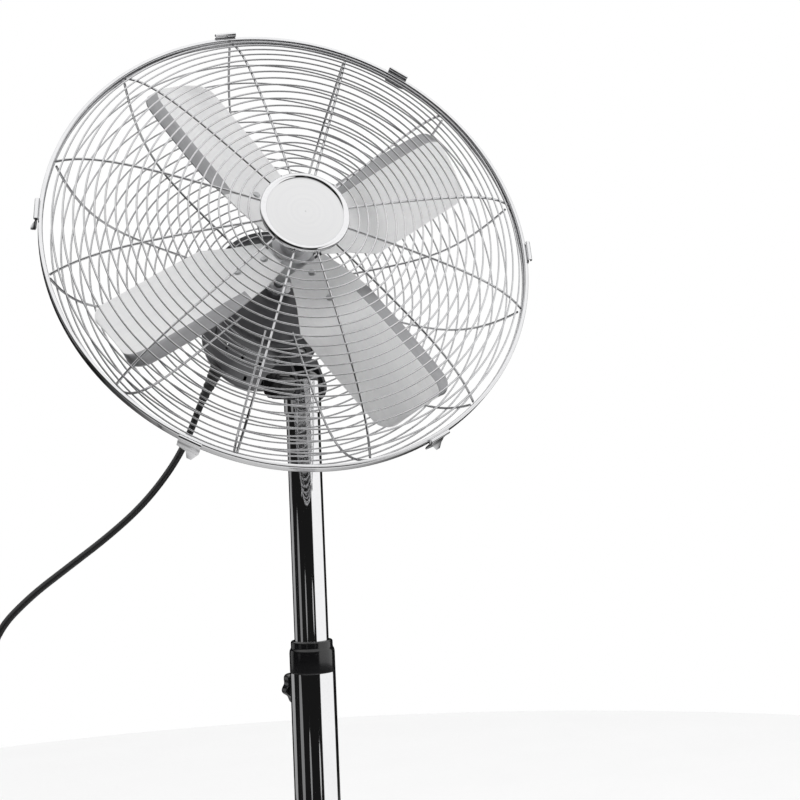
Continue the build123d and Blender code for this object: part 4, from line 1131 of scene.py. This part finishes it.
def knobs() -> None:
    """Makes the height, tilt and speed knobs on their joints' axes."""
    lock = joint("height_lock_turn")
    axes = axes_about(np.array(lock["axis"]), lock["pos_m"], POLE.z)
    Knob("height_grip", "height_knob", "gloss_black", axes.moved(along=0.0264), 0.0165, 0.0130,
         7, 0.085, 0.0030, -0.0096).build()
    tilt = joint("tilt_lock_turn")
    axes = axes_about(-np.array(tilt["axis"]), tilt["pos_m"], POLE.z)
    Knob("tilt_grip", "tilt_knob", "gloss_black", axes.moved(along=0.0232), 0.0126, 0.0213,
         12, 0.035, 0.0062, -0.0001).build()
    speed = joint("speed_knob_turn")
    axes = axes_about(-np.array(speed["axis"]), HEAD.at(0, 0, -0.2292), HEAD.y)
    Knob("speed_grip", "speed_knob", "gloss_black", axes, 0.0140, 0.0140, 16, 0.02, 0.0030,
         -0.0080).build()


# ---- Cord ------------------------------------------------------------------


@dataclass
class MainsCord:
    """The lead: three stretches that follow the head, the mast and the floor."""

    radius: float = 0.0035
    gland_turn: float = math.radians(-155.8)
    gland_at: float = -0.200
    case_r: float = 0.060
    aim: float = math.radians(-132.4)
    back: float = math.radians(19.7)
    relief: float = 0.024
    coil_at: tuple[float, float] = (-0.255, 0.125)
    coil_from: float = math.radians(202)
    boot_past: float = 0.012
    boot_r: float = 0.0074
    boot_taper: float = 0.0032
    pin_r: float = 0.0020
    pin_out: float = 0.0093
    pin_from: float = 0.0290
    pin_dome: float = 0.0470
    strap_half: float = 0.0045
    floor_meet: tuple[float, float, float] = (-0.296, 0.033, 0.062)

    def gland_axes(self) -> Axes:
        """Axes at the casing's wall whose z is the way that the cord leaves.

        Returns:
            The axes.
        """
        wall = HEAD.turned(self.gland_turn).at(self.case_r, 0, self.gland_at)
        way = HEAD.turned(self.aim).x * math.cos(self.back) - HEAD.z * math.sin(self.back)
        return axes_about(way, wall, HEAD.z)

    def coil_points(self) -> Array:
        """The coil's control points: angle falls evenly, radius and height go in steps.

        Sixteen points a turn. The radius and height are held for each turn and
        change over a short arc, so that the turns lie beside and on each other.

        Returns:
            The points, of shape (n, 3).
        """
        t = np.arange(0.02, 3.44, 1 / 16)
        r = np.interp(t, [0, 0.12, 0.90, 1.10, 2.0, 2.9, 3.1, 3.5],
                      [0.0452, 0.0424, 0.0424, 0.0348, 0.0350, 0.0350, 0.0424, 0.0424])
        z = np.interp(t, [0, 0.1, 1.70, 1.88, 3.3, 3.5],
                      [0.0040, 0.0044, 0.0044, 0.0115, 0.0115, 0.0110])
        a = self.coil_from - t * TURN
        x, y = self.coil_at
        return np.column_stack([x + r * np.cos(a), y + r * np.sin(a), z])

    def stretches(self) -> tuple[Array, Array, Array]:
        """The three stretches' control points, each ending halfway along a run.

        Returns:
            The upper, the middle and the lower stretch's points.
        """
        exit_axes = self.gland_axes()
        start = exit_axes.at(0, 0, np.array([self.relief, self.relief + 0.018]))
        upper = np.vstack([start, [
            (-0.101, 0.086, 0.880),
            (-0.121, 0.080, 0.847),
            (-0.151, 0.074, 0.812),
            (-0.186, 0.069, 0.783),
            (-0.223, 0.064, 0.757)]])
        middle = np.array([
            (-0.261, 0.059, 0.730),
            (-0.291, 0.054, 0.700),
            (-0.305, 0.050, 0.650),
            (-0.3095, 0.046, 0.594),
            (-0.310, 0.042, 0.536)])
        lower = np.array([
            (-0.312, 0.038, 0.474),
            (-0.3125, 0.033, 0.410),
            (-0.311, 0.028, 0.345),
            (-0.308, 0.024, 0.280),
            (-0.304, 0.022, 0.216),
            (-0.300, 0.022, 0.158),
            (-0.297, 0.025, 0.106),
            self.floor_meet,
            (-0.296, 0.050, 0.025),
            (-0.297, 0.077, 0.007),
            (-0.2975, 0.104, 0.004)])
        tail = np.array([
            (-0.2130, 0.1405, 0.0112),
            (-0.2072, 0.1300, 0.0092),
            (-0.2058, 0.1200, 0.0078),
            (-0.2055, 0.1110, 0.0074)])
        upper_end = (upper[-1] + middle[0]) / 2
        middle_end = (middle[-1] + lower[0]) / 2
        return (np.vstack([upper, upper_end]), np.vstack([upper_end, middle, middle_end]),
                np.vstack([middle_end, lower, self.coil_points(), tail]))

    def curve(self, name: str, points: Array) -> bpy.types.Object:
        """One open NURBS spline with a round bevel.

        Args:
            name: The piece's name.
            points: The control points.

        Returns:
            The curve object.
        """
        data = bpy.data.curves.new(name, "CURVE")
        data.dimensions = "3D"
        data.bevel_depth = self.radius
        data.bevel_resolution = 4
        data.resolution_u = 8
        data.use_fill_caps = True
        spline = data.splines.new("NURBS")
        spline.points.add(len(points) - 1)
        spline.points.foreach_set("co", np.column_stack([points, np.ones(len(points))]).ravel())
        spline.order_u = 3
        spline.use_endpoint_u = True
        piece = bpy.data.objects.new(name, data)
        bpy.context.collection.objects.link(piece)
        return piece

    def line_of(self, name: str, points: Array) -> Array:
        """The points that a bare NURBS curve passes through.

        Args:
            name: A name for the passing curve.
            points: The control points.

        Returns:
            The line's points, of shape (n, 3).
        """
        bare = self.curve(name, points)
        bare.data.bevel_depth = 0.0
        bare.data.resolution_u = 10
        depsgraph = bpy.context.evaluated_depsgraph_get()
        mesh = bpy.data.meshes.new_from_object(bare.evaluated_get(depsgraph))
        line = np.zeros(len(mesh.vertices) * 3, np.float32)
        mesh.vertices.foreach_get("co", line)
        bpy.data.objects.remove(bare)
        bpy.data.meshes.remove(mesh)
        return line.reshape(-1, 3).astype(float)

    def tube(self, name: str, line: Array) -> bpy.types.Object:
        """A mesh tube along a line, square to a fixed direction that the line never takes.

        Args:
            name: The piece's name.
            line: The line's points.

        Returns:
            The tube.
        """
        way = np.gradient(line, axis=0)
        way /= np.linalg.norm(way, axis=1, keepdims=True)
        side = np.cross(way, POLE.y)
        side /= np.linalg.norm(side, axis=1, keepdims=True)
        grid = along_path(line, side, np.cross(way, side), self.radius, 14)
        return Skin(name).grid(grid, False, True, True).build(80)

    def relief_boot(self) -> bpy.types.Object:
        """A tapered boot with ribs: radius falls along it with a small ripple.

        Returns:
            The boot.
        """
        length = self.relief + self.boot_past
        s = np.linspace(-0.006, length, 100)
        share = np.clip(s / length, 0, 1)
        ripple = 0.00035 * np.cos(share * TURN * 7) * (share > 0.06) * (share < 0.93)
        r = self.boot_r - self.boot_taper * share + ripple
        r[s < 0.0028] = 0.0080
        profile = np.vstack([[[0.0004, s[0]]], np.column_stack([r, s]), [[0.0036, s[-1]]]])
        grid = lathe(self.gland_axes(), profile, 32)
        return Skin("cord_relief").grid(grid, False, True, True).build(50)

    def plug_body(self) -> bpy.types.Object:
        """Rounded sections carried from the cord to the pins, then a flat face.

        Each section is a superellipse |x/a|^3 + |y/b|^3 = 1 whose two sizes
        follow a few named stations along the plug.

        Returns:
            The plug's body.
        """
        s = np.array([-0.020, -0.019, -0.010, -0.001, 0.002, 0.008, 0.016, 0.024, 0.0285, 0.0298, 0.030])
        wide = np.array([36, 37, 41, 46, 52, 78, 112, 132, 140, 138, 130]) * 1e-4
        thick = np.array([36, 37, 41, 46, 50, 58, 66, 69, 70, 68, 62]) * 1e-4
        t = circle(48)
        cos, sin = np.cos(t), np.sin(t)
        power = 2 / (2 + 1.0 * np.clip((s + 0.001) / 0.01, 0, 1))[:, None]
        x = wide[:, None] * np.sign(cos) * np.abs(cos) ** power
        y = thick[:, None] * np.sign(sin) * np.abs(sin) ** power
        grid = self.plug_axes().at(x, y, s[:, None] + 0 * x)
        return Skin("plug_body").grid(grid, False, True, True).build(50)

    def plug_axes(self) -> Axes:
        """Axes of the plug: z from the cord towards the pins."""
        return Axes(np.array([-0.2055, 0.111, 0.0074]), np.array([1.0, 0, 0]),
                    np.array([0, 0, 1.0]), np.array([0, -1.0, 0]))

    def plug_pins(self) -> bpy.types.Object:
        """Two round pins with domed ends.

        Returns:
            Both pins as one piece.
        """
        a = np.radians(np.linspace(0, 84, 6))
        dome = np.column_stack([self.pin_r * np.cos(a), self.pin_dome + self.pin_r * np.sin(a)])
        profile = np.vstack([[[self.pin_r, self.pin_from]], dome])
        skin = Skin("plug_pins")
        for across in (-self.pin_out, self.pin_out):
            skin.grid(lathe(self.plug_axes().moved(across=across), profile, 20), False, True, True)
        return skin.build(50)

    def tie(self) -> bpy.types.Object:
        """A strap round the turns: a rounded loop square to the coil.

        Returns:
            The strap.
        """
        x, y = self.coil_at
        corners = [(0.0307, 0.0004), (0.0463, 0.0004), (0.0463, 0.0152), (0.0307, 0.0152)]
        loop = rounded(corners, 0.0034, 6)
        middle = loop.mean(axis=0)
        outer = middle + (loop - middle) * 1.04
        inner = middle + (loop - middle) * 0.985
        axes = Axes(np.array([x, y, 0.0]), POLE.y, POLE.z, POLE.x)
        half = self.strap_half
        rings = [(outer, -half), (outer, half), (inner, half), (inner, -half)]
        grid = np.stack([axes.at(o[:, 0], np.maximum(o[:, 1], 0.0001), np.full(len(o), w))
                         for o, w in rings])
        return Skin("coil_strap").grid(grid, True, True).build(50)

    def build(self) -> None:
        upper, middle, lower = self.stretches()
        boot = settle(self.relief_boot(), "head", "plug_black", SATIN_BLACK, "cord_gland")
        first = self.line_of("upper_line", upper)
        high = self.tube("cord_head_flex", first)
        dress(high, SHEATH)
        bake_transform(high)
        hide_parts("cord_upper")
        second = self.line_of("middle_line", middle)
        mid = self.tube("cord_neck_flex", second)
        dress(mid, SHEATH)
        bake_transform(mid)
        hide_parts("cord_middle")
        third = self.line_of("lower_line", lower)
        low = self.tube("cord_floor_flex", third)
        dress(low, SHEATH)
        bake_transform(low)
        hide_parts("cord_lower", "cord_coil")
        body = settle(self.plug_body(), "base", "plug_black", SATIN_BLACK, "plug")
        pins = settle(self.plug_pins(), "base", "plain_steel", ZINC)
        strap = settle(self.tie(), "base", "plug_black", SATIN_BLACK)


# ---- Stage -----------------------------------------------------------------


@dataclass(frozen=True)
class Panel:
    """A bright upright panel of the surround, seen in reflections only.

    Its heading and half-width are in degrees, from the way the camera faces.
    """

    heading: float
    half: float
    brightness: float


@dataclass
class Studio:
    """Camera, pale floor, soft lights and a white surround."""

    place: tuple[float, float, float] = (-0.2638, -1.1512, 0.8223)
    azimuth: float = math.radians(-17.56)
    rise: float = math.radians(4.03)
    roll: float = math.radians(-2.51)
    lens: float = 54.0
    ceiling: float = 1.06
    ceiling_from: tuple[float, float] = (0.30, 0.62)
    dim: float = 0.010
    soft_share: float = 0.93
    floor_r: float = 3.2
    floor_z: float = -0.0002
    floor_fades: tuple[float, float] = (0.1, 2.2)
    floor_shades: tuple[float, float] = (0.75, 0.02)
    panels: tuple[Panel, ...] = (
        Panel(82.0, 44.0, 1.05), Panel(24.0, 3.0, 0.55), Panel(-22.0, 4.0, 0.28),
        Panel(-64.0, 9.0, 0.22), Panel(-120.0, 16.0, 0.35))

    def camera(self) -> None:
        """Sets the camera from its place, heading, rise and roll."""
        a, p, r = self.azimuth, self.rise, self.roll
        back = np.array([math.sin(a) * math.cos(p), -math.cos(a) * math.cos(p), -math.sin(p)])
        right = np.array([math.cos(a), math.sin(a), 0.0])
        up = np.cross(back, right)
        x = math.cos(r) * right + math.sin(r) * up
        y = -math.sin(r) * right + math.cos(r) * up
        data = bpy.data.cameras.new("camera")
        data.lens, data.sensor_width = self.lens, 36.0
        data.clip_start = 0.01
        camera = bpy.data.objects.new("camera", data)
        bpy.context.collection.objects.link(camera)
        matrix = np.eye(4)
        matrix[:3] = np.column_stack([x, y, back, self.place])
        camera.matrix_world = Matrix(matrix)
        bpy.context.scene.camera = camera

    def floor(self) -> None:
        """A wide pale disc under the foot; in reflections its colour darkens away from it, a painted shade for
        light falling off.
        """
        profile = np.array([[0.001, self.floor_z], [self.floor_r, self.floor_z]])
        piece = Skin("floor").grid(lathe(POLE, profile, 96), False, True).build(80)
        dress(piece, FLOOR_PAPER)
        tree = piece.data.materials[0].node_tree
        grain, shader = tree.nodes["Group"], tree.nodes["Principled BSDF"]
        dark = tree.nodes.new("ShaderNodeMix")
        dark.data_type = "RGBA"
        away = tree.nodes.new("ShaderNodeVectorMath")
        away.operation = "LENGTH"
        tree.links.new(tree.nodes.new("ShaderNodeTexCoord").outputs["Object"], away.inputs[0])
        # Painted shade: in glossy rays the floor's colour fades with distance, standing in for the light falling
        # off.
        fall = remap(tree, away.outputs["Value"], self.floor_fades, self.floor_shades)
        tree.links.new(fall, dark.inputs[COLOUR_B])
        path = tree.nodes.new("ShaderNodeLightPath")
        tree.links.new(path.outputs["Is Glossy Ray"], dark.inputs["Factor"])
        tree.links.new(grain.outputs["Color"], dark.inputs[COLOUR_A])
        tree.links.new(dark.outputs[COLOUR_OUT], shader.inputs["Base Color"])

    def light(self, name: str, at: tuple[float, float, float], size: tuple[float, float],
              power: float) -> None:
        """One soft box that looks at the head.

        Args:
            name: The light's name.
            at: Its place.
            size: Its width and height.
            power: Its power in watts.
        """
        data = bpy.data.lights.new(name, "AREA")
        data.shape = "RECTANGLE"
        data.size, data.size_y = size
        data.energy = power
        lamp = bpy.data.objects.new(name, data)
        bpy.context.collection.objects.link(lamp)
        aim = Vector((0.0, 0.0, 0.9)) - Vector(at)
        lamp.rotation_euler = aim.to_track_quat("-Z", "Y").to_euler()
        lamp.location = at
        lamp.visible_glossy = False

    def surround(self) -> None:
        """A white room that shows panels on dark walls in reflections.

        Brightness is the largest of smooth steps: one towards the ceiling and
        one for each upright panel, in the cosine of the angle from its heading.
        What is seen straight on, and what lights matt surfaces, is plain white.
        """
        world = bpy.data.worlds.new("studio")
        bpy.context.scene.world = world
        world.use_nodes = True
        tree = world.node_tree
        nodes, links = tree.nodes, tree.links
        ground = nodes["Background"]
        parts = nodes.new("ShaderNodeSeparateXYZ")
        links.new(nodes.new("ShaderNodeTexCoord").outputs["Generated"], parts.inputs["Vector"])

        bright = remap(tree, parts.outputs["Z"], self.ceiling_from, (0.0, self.ceiling))
        for panel in self.panels:
            a = math.radians(panel.heading) + self.azimuth
            side = nodes.new("ShaderNodeVectorMath")
            side.operation = "DOT_PRODUCT"
            side.inputs[1].default_value = (math.sin(a), -math.cos(a), 0.0)
            links.new(nodes["Texture Coordinate"].outputs["Generated"], side.inputs[0])
            edge = math.cos(math.radians(panel.half))
            soft = math.cos(math.radians(panel.half * self.soft_share))
            glow = remap(tree, side.outputs["Value"], (edge, soft), (0.0, panel.brightness))
            bright = calc(tree, "MAXIMUM", bright, glow)
        path = nodes.new("ShaderNodeLightPath")
        either = calc(tree, "MAXIMUM", path.outputs["Is Camera Ray"], path.outputs["Is Diffuse Ray"])
        mix = nodes.new("ShaderNodeMix")
        links.new(either, mix.inputs["Factor"])
        links.new(calc(tree, "ADD", bright, self.dim), mix.inputs[FLOAT_A])
        mix.inputs[FLOAT_B].default_value = 1.0
        links.new(mix.outputs[FLOAT_OUT], ground.inputs["Strength"])
        ground.inputs["Color"].default_value = (1, 1, 1, 1)

    def build(self) -> None:
        """Makes the camera, the floor, the lights and the surround."""
        self.camera()
        self.floor()
        self.surround()
        self.light("key_box", (1.6, -1.6, 2.4), (1.4, 1.4), 16)
        self.light("fill_box", (-1.8, -1.2, 1.6), (0.9, 1.6), 4)
        bpy.context.scene.view_settings.view_transform = "Standard"


def dress_frame() -> None:
    """Gives every node of the frame the finish of its slot."""
    slots = {part["node"]: part["material_slot"] for part in frame["record"]["subparts"]}
    for name, piece in frame["nodes"].items():
        finish, axes = SLOT_FINISH[slots[name]]
        dress(piece, finish, axes)


def main() -> None:
    """Builds the studio, the cord and then each sub-assembly."""
    logging.basicConfig(level=logging.INFO, format="%(message)s")
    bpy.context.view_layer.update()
    Studio().build()
    MainsCord().build()
    dress_frame()
    GuardHalf("front", True, 0.041, 20, 0.037, 0.0414, 0.45).build("front_rings", "front_ribs")
    GuardHalf("rear", False, 0.050, 19, 0.052, 0.0904, 0.15).build("rear_rings", "rear_frame")
    RimAndBadge().build()
    for number, angle in enumerate(LATCH_ANGLES, 1):
        Latch(number, math.radians(angle)).build()
    Rotor().build()
    Stand().build()
    knobs()


if __name__ == "__main__":
    main()
